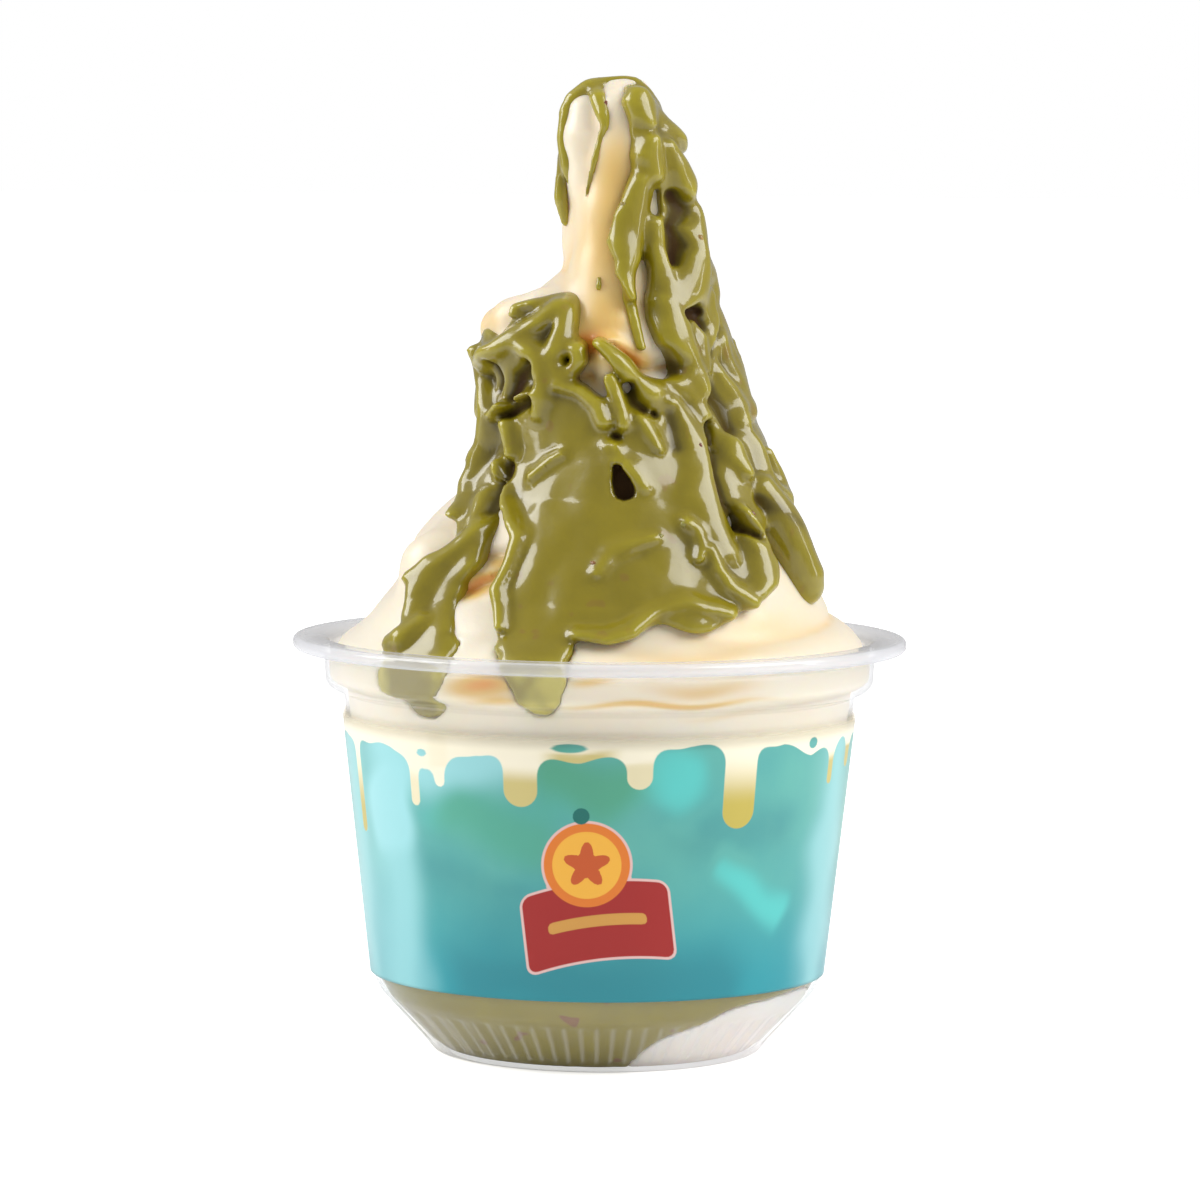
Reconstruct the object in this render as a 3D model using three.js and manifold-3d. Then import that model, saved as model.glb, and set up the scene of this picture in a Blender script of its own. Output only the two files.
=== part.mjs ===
// A clear plastic dessert cup with a printed sleeve, filled with soft-serve ice cream that
// rises in a leaning tower, with thick pistachio sauce running down it and lying at the bottom.
// Millimetres, +Z up, the origin at the middle of the cup's foot. The front is -Y, +X is right.
import * as THREE from "three";
import Module from "manifold-3d";
import { mergeVertices } from "three/addons/utils/BufferGeometryUtils.js";

const wasm = await Module();
wasm.setup();

// ---------------------------------------------------------------- driving dimensions, mm
const GAP = 0.3; // clearance between pieces that touch
const WALL = 0.9; // cup wall
const FOOT_R = 24.5; // flat underside
const FOOT_FILLET = { r: 27.2, z: 1.7 }; // where the foot's rounding meets the cone
const CONE_TOP = { r: 33.4, z: 8.5 }; // upper end of the fluted cone
const WALL_FOOT = { r: 35.7, z: 11.9 }; // lower end of the straight wall
const WALL_TOP = { r: 40.7, z: 56.5 }; // upper end of the straight wall
const STEP = { r: 43.7, z: 59.3 }; // the stacking step under the rim
const RIM_R = 49;
const RIM_Z = 66.6;
const RIM_THICK = 2.0;
const FLUTES = 40; // ribs round the cone
const FLUTE_DEPTH = 0.4;

const SLEEVE_FOOT_Z = 12.9;
const SLEEVE_TOP_Z = 55.4;
const SLEEVE_THICK = 0.3;

const BASE_SAUCE_Z = 16.5; // mean level of the sauce at the bottom of the cup
const BASE_SAUCE_WAVE = 2.2;
const BASE_CREAM = { centre: [27, -14, 0], radii: [24, 26, 12] }; // the dab of cream low at right

const TIP_Z = 156;
// The leaning tower: height, offset of its middle to the right, outer radius.
const TOWER = [
  [63.4, 0, 42.4],
  [66.0, 0.2, 41.6],
  [69.5, 0.8, 38.2],
  [74.5, 1.0, 34.2],
  [82.0, 0.8, 30.0],
  [90.0, 4.0, 25.2],
  [97.6, 3.8, 21.9],
  [105.2, 1.4, 19.8],
  [113.0, 0.2, 18.4],
  [119.5, 1.8, 14.8],
  [125.0, 4.8, 11.2],
  [135.8, 3.6, 8.9],
  [146.0, 2.8, 8.3],
  [152.0, 2.0, 6.4],
  [155.0, 2.8, 3.6],
  [TIP_Z, 3.6, 0],
];
const COIL_DEPTH = 3.0; // how deep the crease between two turns of the swirl is
const COIL_SHRINK = 0.0086; // how fast the turns get lower with height, per mm
const COIL_RATE = 6.45; // turns per natural logarithm of the tower's taper
const COIL_START_Z = 66;
const COIL_FADE = [112, 126]; // above this the swirl is drawn out into a smooth column
const COIL_FADE_SHARE = 0.85; // how much of the creases' depth is lost there
const COIL_RISE = 5; // the creases start over this height above the fill
const TIP_RUN_OUT = 8; // and end over this height below the tip
const CREASE_SHARPNESS = 0.98; // 1 would meet in a knife edge
const UNEVEN = 0.7; // slow waves in the cream

// Rounded lobes of cream: degrees from the front, height, half size, how far it stands out.
const LOBES = [
  [-62, 79, 8, 2.6],
  [-66, 116.5, 5, 3.2],
  [-40, 146, 5, 1.0],
];

const SAUCE_THICK = 2.3;
const TONGUE_THICK = 4.4;

// Runs of sauce on the front: [x, z, half width] along each run.
const FRONT_RUNS = [
  [[4, 153, 3.2], [9, 147, 5.0], [9.3, 136, 5.6], [10.5, 127, 7.0], [12, 117, 7.5]],
  [[-5.5, 151, 1.6], [4, 154.4, 2.2]],
  [[-6.2, 148, 1.5], [-6, 135, 1.5]],
  [[12, 114, 8.5], [17, 104, 8], [20, 95, 7.5], [21, 83, 7]],
  [[-10, 117, 4.2], [-14, 108, 6], [-14, 100, 6], [-17, 92, 5]],
  [[-3, 107, 7], [2, 100, 10], [6, 91, 13], [9, 81, 12], [12, 76, 8]],
  [[-8, 98, 8], [-5, 88, 9], [-2, 78, 9], [2, 72, 6]],
  [[-18, 91, 4.4], [-21, 84, 4], [-25, 76, 4], [-27, 69, 4.6], [-28, 63, 5.6], [-28, 60, 5]],
  [[-9, 80, 6.5], [-10, 70, 5.8], [-9.7, 60, 4.8]],
];
// The thick tongue of sauce that stands off the cream at the right.
const TONGUE = [[26.5, 91, 2.8], [29, 85, 3.2], [31.5, 80, 3.4], [33, 76, 3.2]];
// Runs that wrap round the sides: [degrees from the front, z, half width] along each run.
const SIDE_RUNS = [
  [[75, 146, 4.0], [80, 136, 5.5], [72, 128, 6.5], [84, 120, 7]],
  [[70, 118, 6.5], [78, 108, 7.5], [80, 99, 8], [74, 91, 7], [68, 84, 5]],
  [[105, 121, 5], [104, 112, 6], [108, 103, 5.5], [112, 95, 4.5], [115, 88, 3.2]],
  [[-62, 111, 4.6], [-74, 106, 5.6], [-76, 98, 5.6], [-66, 90, 4.6]],
  [[-98, 110, 4.4], [-102, 102, 5.2], [-104, 94, 4.4], [-108, 86, 3.4]],
];
const BACK_RUNS = 7; // runs of sauce behind, spread evenly and drawn from the seed
const BACK_STOPS = 5; // points along each
const BACK_TOP_Z = 132; // where the middle ones start, up to BACK_TOP_RANGE higher
const BACK_TOP_FALL = 26; // how much lower the outer ones start
const BACK_TOP_RANGE = 10;
const BACK_BOTTOM_Z = [72, 86];
const BACK_HALF_WIDTH = [5.5, 8];
const BACK_SPREAD = [0.55, 0.85]; // share of the tower's radius that the outer ones reach
const BACK_TAPER = 0.08; // how much narrower from each point to the next
const SEED = 11;

const CREAM_SIDES = 72;
const CREAM_ROWS = 42;
const FILL_SIDES = 48;
const SLEEVE_SIDES = 120;
const CUP_SIDES = 2 * FLUTES;

// ---------------------------------------------------------------- small helpers
const TAU = 2 * Math.PI;

function seeded(seed) {
  let state = seed >>> 0;
  return () => {
    state = (Math.imul(state, 1664525) + 1013904223) >>> 0;
    return state / 4294967296;
  };
}

const clamp = (value, low, high) => Math.min(high, Math.max(low, value));

function smoothstep(low, high, value) {
  const t = clamp((value - low) / (high - low), 0, 1);
  return t * t * (3 - 2 * t);
}

// A column of a table of stations, read at height z.
function along(stations, z, column) {
  let i = 0;
  while (i < stations.length - 2 && stations[i + 1][0] < z) i += 1;
  const [low, high] = [stations[i], stations[i + 1]];
  const t = clamp((z - low[0]) / (high[0] - low[0]), 0, 1);
  return low[column] + (high[column] - low[column]) * t;
}

// A closed mesh from rings of points: one point in the first and the last ring, and
// equally many in the others, each ring counted the same way round.
function closedFromRings(rings) {
  const positions = [];
  const starts = [];
  for (const ring of rings) {
    starts.push(positions.length / 3);
    for (const point of ring) positions.push(...point);
  }
  const index = [];
  for (let k = 0; k < rings.length - 1; k += 1) {
    const [a, b] = [starts[k], starts[k + 1]];
    const count = Math.max(rings[k].length, rings[k + 1].length);
    for (let i = 0; i < count; i += 1) {
      const j = (i + 1) % count;
      if (rings[k].length === 1) index.push(a, b + j, b + i);
      else if (rings[k + 1].length === 1) index.push(a + i, a + j, b);
      else index.push(a + i, a + j, b + j, a + i, b + j, b + i);
    }
  }
  const geometry = new THREE.BufferGeometry();
  geometry.setAttribute("position", new THREE.Float32BufferAttribute(positions, 3));
  geometry.setIndex(index);
  return geometry;
}

// Angle 0 is the front, growing towards the right.
const angleOf = (i, count) => (TAU * i) / count;
const onCircle = (angle, radius, z, centre = 0) => [
  centre + radius * Math.sin(angle),
  -radius * Math.cos(angle),
  z,
];

function toManifold(geometry) {
  const plain = new THREE.BufferGeometry();
  plain.setAttribute("position", geometry.getAttribute("position"));
  plain.setIndex(geometry.getIndex());
  const merged = mergeVertices(plain);
  return new wasm.Manifold(
    new wasm.Mesh({
      numProp: 3,
      vertProperties: new Float32Array(merged.getAttribute("position").array),
      triVerts: new Uint32Array(merged.getIndex().array),
    }),
  );
}

function fromManifold(solid) {
  const mesh = solid.getMesh();
  const geometry = new THREE.BufferGeometry();
  geometry.setAttribute("position", new THREE.Float32BufferAttribute(mesh.vertProperties, 3));
  geometry.setIndex([...mesh.triVerts]);
  return geometry;
}

function piece(name, geometry, colour, roughness, opacity = 1) {
  geometry.computeVertexNormals();
  const material = new THREE.MeshStandardMaterial({
    color: colour,
    roughness,
    metalness: 0,
    transparent: opacity < 1,
    opacity,
  });
  const mesh = new THREE.Mesh(geometry, material);
  mesh.name = name;
  return mesh;
}

// ---------------------------------------------------------------- the cup
// Outer radii and heights from the foot to the lip, then the inside back down to the floor.
const OUTSIDE = [
  [FOOT_R, 0],
  [(FOOT_R + FOOT_FILLET.r) / 2 + 0.4, 0.4],
  [FOOT_FILLET.r, FOOT_FILLET.z],
  [CONE_TOP.r, CONE_TOP.z],
  [(CONE_TOP.r + WALL_FOOT.r) / 2 + 0.3, (CONE_TOP.z + WALL_FOOT.z) / 2 - 0.2],
  [WALL_FOOT.r, WALL_FOOT.z],
  [WALL_TOP.r, WALL_TOP.z],
  [WALL_TOP.r + 0.2, STEP.z - 1.7],
  [STEP.r - 0.8, STEP.z - 0.9],
  [STEP.r, STEP.z],
  [STEP.r + 0.3, RIM_Z - RIM_THICK - 0.6],
  [STEP.r + 0.8, RIM_Z - RIM_THICK],
  [RIM_R - 0.5, RIM_Z - RIM_THICK],
  [RIM_R, RIM_Z - RIM_THICK + 0.5],
  [RIM_R, RIM_Z - 0.5],
  [RIM_R - 0.5, RIM_Z],
  [STEP.r + 0.6, RIM_Z],
];
const INSIDE = [
  [STEP.r - WALL + 0.4, RIM_Z - 0.9],
  [STEP.r - WALL + 0.2, RIM_Z - RIM_THICK - 0.4],
  [STEP.r - WALL, STEP.z + 0.6],
  [STEP.r - WALL - 0.9, STEP.z - 0.1],
  [WALL_TOP.r - WALL + 0.2, STEP.z - 0.8],
  [WALL_TOP.r - WALL, WALL_TOP.z + 0.2],
  [WALL_FOOT.r - WALL, WALL_FOOT.z + 0.3],
  [CONE_TOP.r - 0.5, CONE_TOP.z + 0.5],
  [FOOT_FILLET.r - 0.6, FOOT_FILLET.z + 0.8],
  [FOOT_R - 0.2, WALL],
];

function cup() {
  const ring = (radius, z, flute) =>
    Array.from({ length: CUP_SIDES }, (_, i) =>
      onCircle(angleOf(i, CUP_SIDES), radius - (i % 2) * flute, z),
    );
  const fluted = ([, z]) => z > FOOT_FILLET.z - 0.1 && z < CONE_TOP.z + 0.1;
  const rings = [[[0, 0, 0]]];
  for (const point of OUTSIDE) rings.push(ring(...point, fluted(point) ? FLUTE_DEPTH : 0));
  for (const point of INSIDE) rings.push(ring(...point, 0));
  rings.push([[0, 0, WALL]]);
  return closedFromRings(rings);
}

// ---------------------------------------------------------------- the printed sleeve
function wallRadius(z) {
  return along([[WALL_FOOT.z, WALL_FOOT.r], [WALL_TOP.z, WALL_TOP.r]], z, 1);
}

function sleeve() {
  const corners = [
    [wallRadius(SLEEVE_FOOT_Z) + GAP, SLEEVE_FOOT_Z],
    [wallRadius(SLEEVE_FOOT_Z) + GAP + SLEEVE_THICK, SLEEVE_FOOT_Z],
    [wallRadius(SLEEVE_TOP_Z) + GAP + SLEEVE_THICK, SLEEVE_TOP_Z],
    [wallRadius(SLEEVE_TOP_Z) + GAP, SLEEVE_TOP_Z],
  ];
  const positions = [];
  const index = [];
  for (let i = 0; i < SLEEVE_SIDES; i += 1) {
    for (const corner of corners) positions.push(...onCircle(angleOf(i, SLEEVE_SIDES), ...corner));
    const next = ((i + 1) % SLEEVE_SIDES) * 4;
    for (let k = 0; k < 4; k += 1) {
      const m = (k + 1) % 4;
      index.push(i * 4 + k, next + k, next + m, i * 4 + k, next + m, i * 4 + m);
    }
  }
  const geometry = new THREE.BufferGeometry();
  geometry.setAttribute("position", new THREE.Float32BufferAttribute(positions, 3));
  geometry.setIndex(index);
  return geometry;
}

// ---------------------------------------------------------------- what fills the cup
const FILL = INSIDE.map(([radius, z]) => [z, radius - GAP]).reverse();
FILL[0] = [WALL + GAP, FOOT_R - 0.6];
const fillRadius = (z) => along(FILL, z, 1);

// The uneven top of the sauce that lies at the bottom of the cup.
function sauceLevel(angle, share) {
  const wave = Math.sin(2 * angle + 0.8) + 0.5 * Math.sin(3 * angle - 1.1);
  return BASE_SAUCE_Z + BASE_SAUCE_WAVE * share * wave - 1.5 * (1 - share);
}

function baseFill() {
  const ring = (radius, z) =>
    Array.from({ length: FILL_SIDES }, (_, i) => onCircle(angleOf(i, FILL_SIDES), radius, z));
  const rings = [[[0, 0, FILL[0][0]]]];
  for (const [z, radius] of FILL.slice(0, 4)) rings.push(ring(radius, z));
  for (const share of [1, 0.6]) {
    rings.push(
      Array.from({ length: FILL_SIDES }, (_, i) => {
        const angle = angleOf(i, FILL_SIDES);
        const z = sauceLevel(angle, share);
        return onCircle(angle, share * fillRadius(z), z);
      }),
    );
  }
  rings.push([[0, 0, sauceLevel(0, 0)]]);
  return toManifold(closedFromRings(rings));
}

function ellipsoid(centre, radii, grow) {
  const ball = new THREE.SphereGeometry(1, 40, 20);
  ball.scale(...radii.map((r) => r + grow));
  ball.translate(...centre);
  ball.deleteAttribute("normal");
  ball.deleteAttribute("uv");
  return toManifold(ball);
}

function baseCream() {
  return fromManifold(baseFill().intersect(ellipsoid(BASE_CREAM.centre, BASE_CREAM.radii, 0)));
}

function baseSauce() {
  return fromManifold(baseFill().subtract(ellipsoid(BASE_CREAM.centre, BASE_CREAM.radii, GAP)));
}

// ---------------------------------------------------------------- the soft serve and its sauce
// How far the cream stands from the tower's middle, with the creases of the swirl.
function creamRadius(angle, z) {
  const envelope = along(TOWER, z, 2);
  const turns = -COIL_RATE * Math.log(1 - COIL_SHRINK * (z - COIL_START_Z)) - angle / TAU;
  const across = 2 * (turns - Math.floor(turns)) - 1;
  const crease = 1 - Math.sqrt(1 - across * across * CREASE_SHARPNESS);
  const rise = smoothstep(COIL_START_Z, COIL_START_Z + COIL_RISE, z);
  const depth = COIL_DEPTH * rise * (1 - COIL_FADE_SHARE * smoothstep(...COIL_FADE, z));
  const waves = Math.sin(3 * angle + z / 9) + 0.6 * Math.sin(5 * angle - z / 7);
  const narrow = smoothstep(TIP_Z, TIP_Z - TIP_RUN_OUT, z);
  let lobes = 0;
  for (const [degrees, height, size, out] of LOBES) {
    const turned = angle - (degrees * TAU) / 360;
    const sideways = (turned - TAU * Math.round(turned / TAU)) * envelope;
    lobes += out * Math.exp(-(sideways ** 2 + (z - height) ** 2) / size ** 2);
  }
  return Math.max(envelope + lobes - (depth * crease + UNEVEN * rise * waves) * narrow, 0.4);
}

// A point seen at x on the front (or the back) of the tower as an angle round it.
function angleAt(x, z, behind) {
  const share = clamp((x - along(TOWER, z, 1)) / along(TOWER, z, 2), -1, 1);
  return behind ? Math.PI - Math.asin(share) : Math.asin(share);
}

function backRuns() {
  const random = seeded(SEED);
  const between = ([low, high]) => low + (high - low) * random();
  return Array.from({ length: BACK_RUNS }, (_, i) => {
    const side = -1 + (2 * (i + 0.5)) / BACK_RUNS;
    const top = BACK_TOP_Z - BACK_TOP_FALL * Math.abs(side) + BACK_TOP_RANGE * random();
    const bottom = between(BACK_BOTTOM_Z);
    const width = between(BACK_HALF_WIDTH);
    return Array.from({ length: BACK_STOPS }, (_, k) => {
      const z = top + ((bottom - top) * k) / (BACK_STOPS - 1);
      const spread = side * between(BACK_SPREAD);
      return [along(TOWER, z, 1) + spread * along(TOWER, z, 2), z, width * (1 - BACK_TAPER * k)];
    });
  });
}

// Runs as short straight stretches in angle and height, with a half width at both ends and
// the depth of the sauce. turnOf gives the angle of a run's point.
function stretches(runs, thick, turnOf) {
  return runs.flatMap((run) =>
    run.slice(1).map((end, k) => ({
      ends: [run[k], end].map(([place, z, width]) => [turnOf(place, z), z, width]),
      thick,
    })),
  );
}

const STRETCHES = [
  ...stretches(FRONT_RUNS, SAUCE_THICK, (x, z) => angleAt(x, z, false)),
  ...stretches([TONGUE], TONGUE_THICK, (x, z) => angleAt(x, z, false)),
  ...stretches(SIDE_RUNS, SAUCE_THICK, (degrees) => (degrees * TAU) / 360),
  ...stretches(backRuns(), SAUCE_THICK, (x, z) => angleAt(x, z, true)),
];

// Thickness of the sauce at a place on the cream: a rounded bead along every run.
function sauceThickness(angle, z) {
  const radius = along(TOWER, z, 2);
  let deepest = 0;
  for (const { ends, thick } of STRETCHES) {
    const [[a0, z0, w0], [a1, z1, w1]] = ends;
    const start = a0 - TAU * Math.round((a0 - angle) / TAU);
    const end = start + (a1 - a0);
    const [ux, uz] = [(end - start) * radius, z1 - z0];
    const [px, pz] = [(angle - start) * radius, z - z0];
    const t = clamp((px * ux + pz * uz) / (ux * ux + uz * uz), 0, 1);
    const away = Math.hypot(px - t * ux, pz - t * uz) / (w0 + (w1 - w0) * t);
    if (away < 1) deepest = Math.max(deepest, thick * Math.sqrt(1 - away ** 4));
  }
  return deepest;
}

function iceCream() {
  const ringAt = (place) =>
    Array.from({ length: CREAM_SIDES }, (_, i) => place(angleOf(i, CREAM_SIDES)));
  const rings = [[[0, 0, sauceLevel(0, 0) + GAP]]];
  for (const share of [0.6, 1]) {
    rings.push(
      ringAt((angle) => {
        const z = sauceLevel(angle, share) + GAP;
        return onCircle(angle, share * fillRadius(z), z);
      }),
    );
  }
  const topFill = FILL.filter(([z]) => z > BASE_SAUCE_Z + 2 * BASE_SAUCE_WAVE && z < TOWER[0][0]);
  for (const [z, radius] of topFill) rings.push(ringAt((angle) => onCircle(angle, radius, z)));
  const foot = TOWER[0][0];
  for (let k = 0; k < CREAM_ROWS; k += 1) {
    const z = foot + ((TIP_Z - foot) * k) / CREAM_ROWS;
    rings.push(
      ringAt((angle) => {
        const above = smoothstep(foot, RIM_Z + 2, z);
        const radius = creamRadius(angle, z) + above * sauceThickness(angle, z);
        return onCircle(angle, radius, z, along(TOWER, z, 1));
      }),
    );
  }
  rings.push([[along(TOWER, TIP_Z, 1), 0, TIP_Z]]);
  return closedFromRings(rings);
}

// ---------------------------------------------------------------- the whole
const CLEAR = 0xf2f4f4;
const BLUE = 0x66b4b4;
const PALE_OLIVE = 0x847d56;
const PALE_CREAM = 0xddd3c9;
const OLIVE = 0x9a9350;

const model = new THREE.Group();
model.add(piece("cup", cup(), CLEAR, 0.12, 0.3));
model.add(piece("sleeve", sleeve(), BLUE, 0.3));
model.add(piece("base_sauce", baseSauce(), PALE_OLIVE, 0.35));
model.add(piece("base_cream", baseCream(), PALE_CREAM, 0.5));
model.add(piece("ice_cream", iceCream(), OLIVE, 0.35));

export default model;
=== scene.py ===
import math

import bpy
import numpy as np
from mathutils import Matrix, Vector


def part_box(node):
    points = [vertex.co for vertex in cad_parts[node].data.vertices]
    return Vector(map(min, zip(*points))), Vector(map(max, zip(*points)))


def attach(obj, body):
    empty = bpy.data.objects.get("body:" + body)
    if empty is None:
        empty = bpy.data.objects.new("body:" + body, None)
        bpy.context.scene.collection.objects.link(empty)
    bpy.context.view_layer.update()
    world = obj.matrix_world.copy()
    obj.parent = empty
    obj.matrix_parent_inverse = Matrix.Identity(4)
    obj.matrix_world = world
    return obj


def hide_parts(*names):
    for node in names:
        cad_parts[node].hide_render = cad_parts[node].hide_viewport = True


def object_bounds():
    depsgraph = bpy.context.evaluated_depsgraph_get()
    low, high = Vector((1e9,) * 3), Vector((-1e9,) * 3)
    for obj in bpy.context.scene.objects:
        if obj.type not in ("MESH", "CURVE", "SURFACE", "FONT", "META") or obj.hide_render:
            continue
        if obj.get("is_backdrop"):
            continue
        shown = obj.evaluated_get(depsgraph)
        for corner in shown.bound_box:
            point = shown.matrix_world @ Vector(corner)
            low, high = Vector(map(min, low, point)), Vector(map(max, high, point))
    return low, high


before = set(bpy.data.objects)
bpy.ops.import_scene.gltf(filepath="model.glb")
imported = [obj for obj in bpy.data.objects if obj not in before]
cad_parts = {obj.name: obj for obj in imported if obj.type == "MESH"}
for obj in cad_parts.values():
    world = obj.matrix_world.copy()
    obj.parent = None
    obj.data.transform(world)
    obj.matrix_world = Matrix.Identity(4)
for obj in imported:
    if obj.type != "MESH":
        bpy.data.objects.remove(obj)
cad_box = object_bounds()

MM = 0.001
TAU = 2 * math.pi

# ------------------------------------------------------------------ sizes, in millimetres
cup_low, cup_high = (corner / MM for corner in map(np.array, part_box("cup")))
sleeve_low, sleeve_high = (corner / MM for corner in map(np.array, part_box("sleeve")))
cream_low, cream_high = (corner / MM for corner in map(np.array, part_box("ice_cream")))

RIM_R = cup_high[0]
RIM_Z = cup_high[2]
RIM_THICK = 2.0
WALL = 0.9
FOOT_R = RIM_R / 2
FOOT_FILLET = (27.2, 1.7)
CONE_TOP = (33.4, 8.5)
WALL_FOOT = (35.7, 11.9)
WALL_TOP = (40.7, 56.5)
STEP = (43.7, 59.3)
FLUTES = 40
FLUTE_DEPTH = 0.45
FLUTE_GLINT = 0.22  # how strong the painted glints are along the flutes, drawn as a thin milky haze
RIM_FROST = 0.42  # how milky the plastic looks on the rim

SLEEVE_FOOT_Z = sleeve_low[2]
SLEEVE_TOP_Z = sleeve_high[2]
SLEEVE_THICK = 0.3
SLEEVE_GAP = 0.3
SLEEVE_COLUMNS = 480
SLEEVE_ROWS = 84

BASE_SAUCE_Z = 16.5
BASE_SAUCE_WAVE = 2.2
BASE_CREAM_CENTRE = (27, -14, 0)
BASE_CREAM_RADII = (24, 26, 12)
INTO_WALL = 0.25  # how far the contents reach into the wall, so that no air shows

TIP_Z = cream_high[2]
# The leaning tower: height, offset of its middle to the right, outer radius.
TOWER = np.array([
    (63.4, 0, 42.4), (66.0, 0.2, 41.6), (69.5, 0.8, 38.2), (74.5, 1.0, 34.2), (82.0, 0.8, 30.0),
    (90.0, 4.0, 25.2), (97.6, 3.8, 21.9), (105.2, 1.4, 19.8), (113.0, 0.2, 18.4), (119.5, 1.8, 14.8),
    (125.0, 4.8, 11.2), (135.8, 3.6, 8.9), (146.0, 2.8, 8.3), (152.0, 2.0, 6.4), (155.0, 2.8, 3.6),
    (TIP_Z, 3.6, 0),
])
COIL_DEPTH = 3.0
COIL_SHRINK = 0.0086
COIL_RATE = 6.45
COIL_START_Z = 66
COIL_FADE = (112, 126)
UNEVEN = 0.7
# Rounded lobes of cream: degrees from the front, height, half size, how far it stands out.
LOBES = [(-62, 79, 8, 2.6), (-66, 116.5, 5, 3.2), (-40, 146, 5, 1)]

BACK_RUNS = 7
SEED = 11
NUT_COUNT = 46
NUT_SEED = 21
NUT_SIZES = (0.35, 0.8)

VOXEL = 0.48

LINES_IN = 0.4  # how far inside the tower's surface the lines of the sauce run
RUN_DEPTH = 1.4
SIDE_DEPTH = 0.8
SHEET_DEPTH = 1.9
RIDGE_SPREAD = 1.25
SHEETS = {"sheet_a", "sheet_b", "middle", "bottom_lobe"}
# Runs of sauce on the front as (x, z, half width) along each.
FRONT_RUNS = {
    "column_mass": [(5.5, 153.2, 1.8), (7.2, 150.5, 2.8), (8.2, 147, 3.8), (9.4, 142.6, 4.2),
        (10.6, 138.5, 4.6), (11.9, 134, 4.2), (12.2, 129.6, 4.2), (12.6, 125, 4.4), (12.8, 120.6, 4.4)],
    "right_lobe": [(12.8, 138, 1.8), (13.5, 130.7, 2.6), (14.4, 124.4, 3), (15.4, 119.8, 2.6),
        (16.4, 114.1, 2.6)],
    "shoulder": [(-6.7, 119.8, 2.4), (-10.8, 116, 3.7), (-14, 111.1, 4.6), (-14.2, 105.2, 4.8),
        (-14.3, 99, 4.8), (-16.2, 93.6, 4.6), (-18.6, 89, 4.4)],
    "left_flow": [(-18.2, 92, 3.6), (-19.2, 88, 3.2), (-20.2, 84, 3), (-21.8, 80.4, 3.4),
        (-24.2, 77.4, 3.6), (-25.6, 73.6, 3.9), (-26.4, 69.6, 4.4), (-28.6, 66.4, 6.4), (-29.4, 64, 7),
        (-28.6, 62.6, 4.6)],
    "sheet_a": [(-6.7, 100.9, 7), (-7.1, 94.8, 9.5), (-3.7, 87.4, 9.6), (-3.2, 81.6, 8.7),
        (-8.3, 75.6, 8), (-9.6, 70.5, 6), (-9.7, 64, 4.8), (-9.7, 61.4, 3.9)],
    "sheet_b": [(7.9, 102.5, 5.7), (10.2, 96.4, 9.2), (12.8, 89.5, 9.6), (14, 83.6, 9.2), (14, 77.7, 8.4),
        (14, 74.8, 6.3)],
    "right_edge": [(14.6, 117, 4.4), (16.6, 109.8, 4.4), (19.3, 104.3, 4.4), (21.8, 98.9, 4.6),
        (22.8, 93.5, 4.4), (23.5, 88.3, 3.7), (23.4, 82.4, 3.2), (22.5, 77.3, 3)],
    "bottom_lobe": [(-2, 77.5, 6), (1.5, 76.4, 6), (5.1, 75.2, 5.7), (9.4, 75.2, 4.9)],
    "middle": [(3.5, 96, 5.5), (5, 91, 7.5), (5.5, 83, 7.5), (6, 78, 6)],
}
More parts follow.
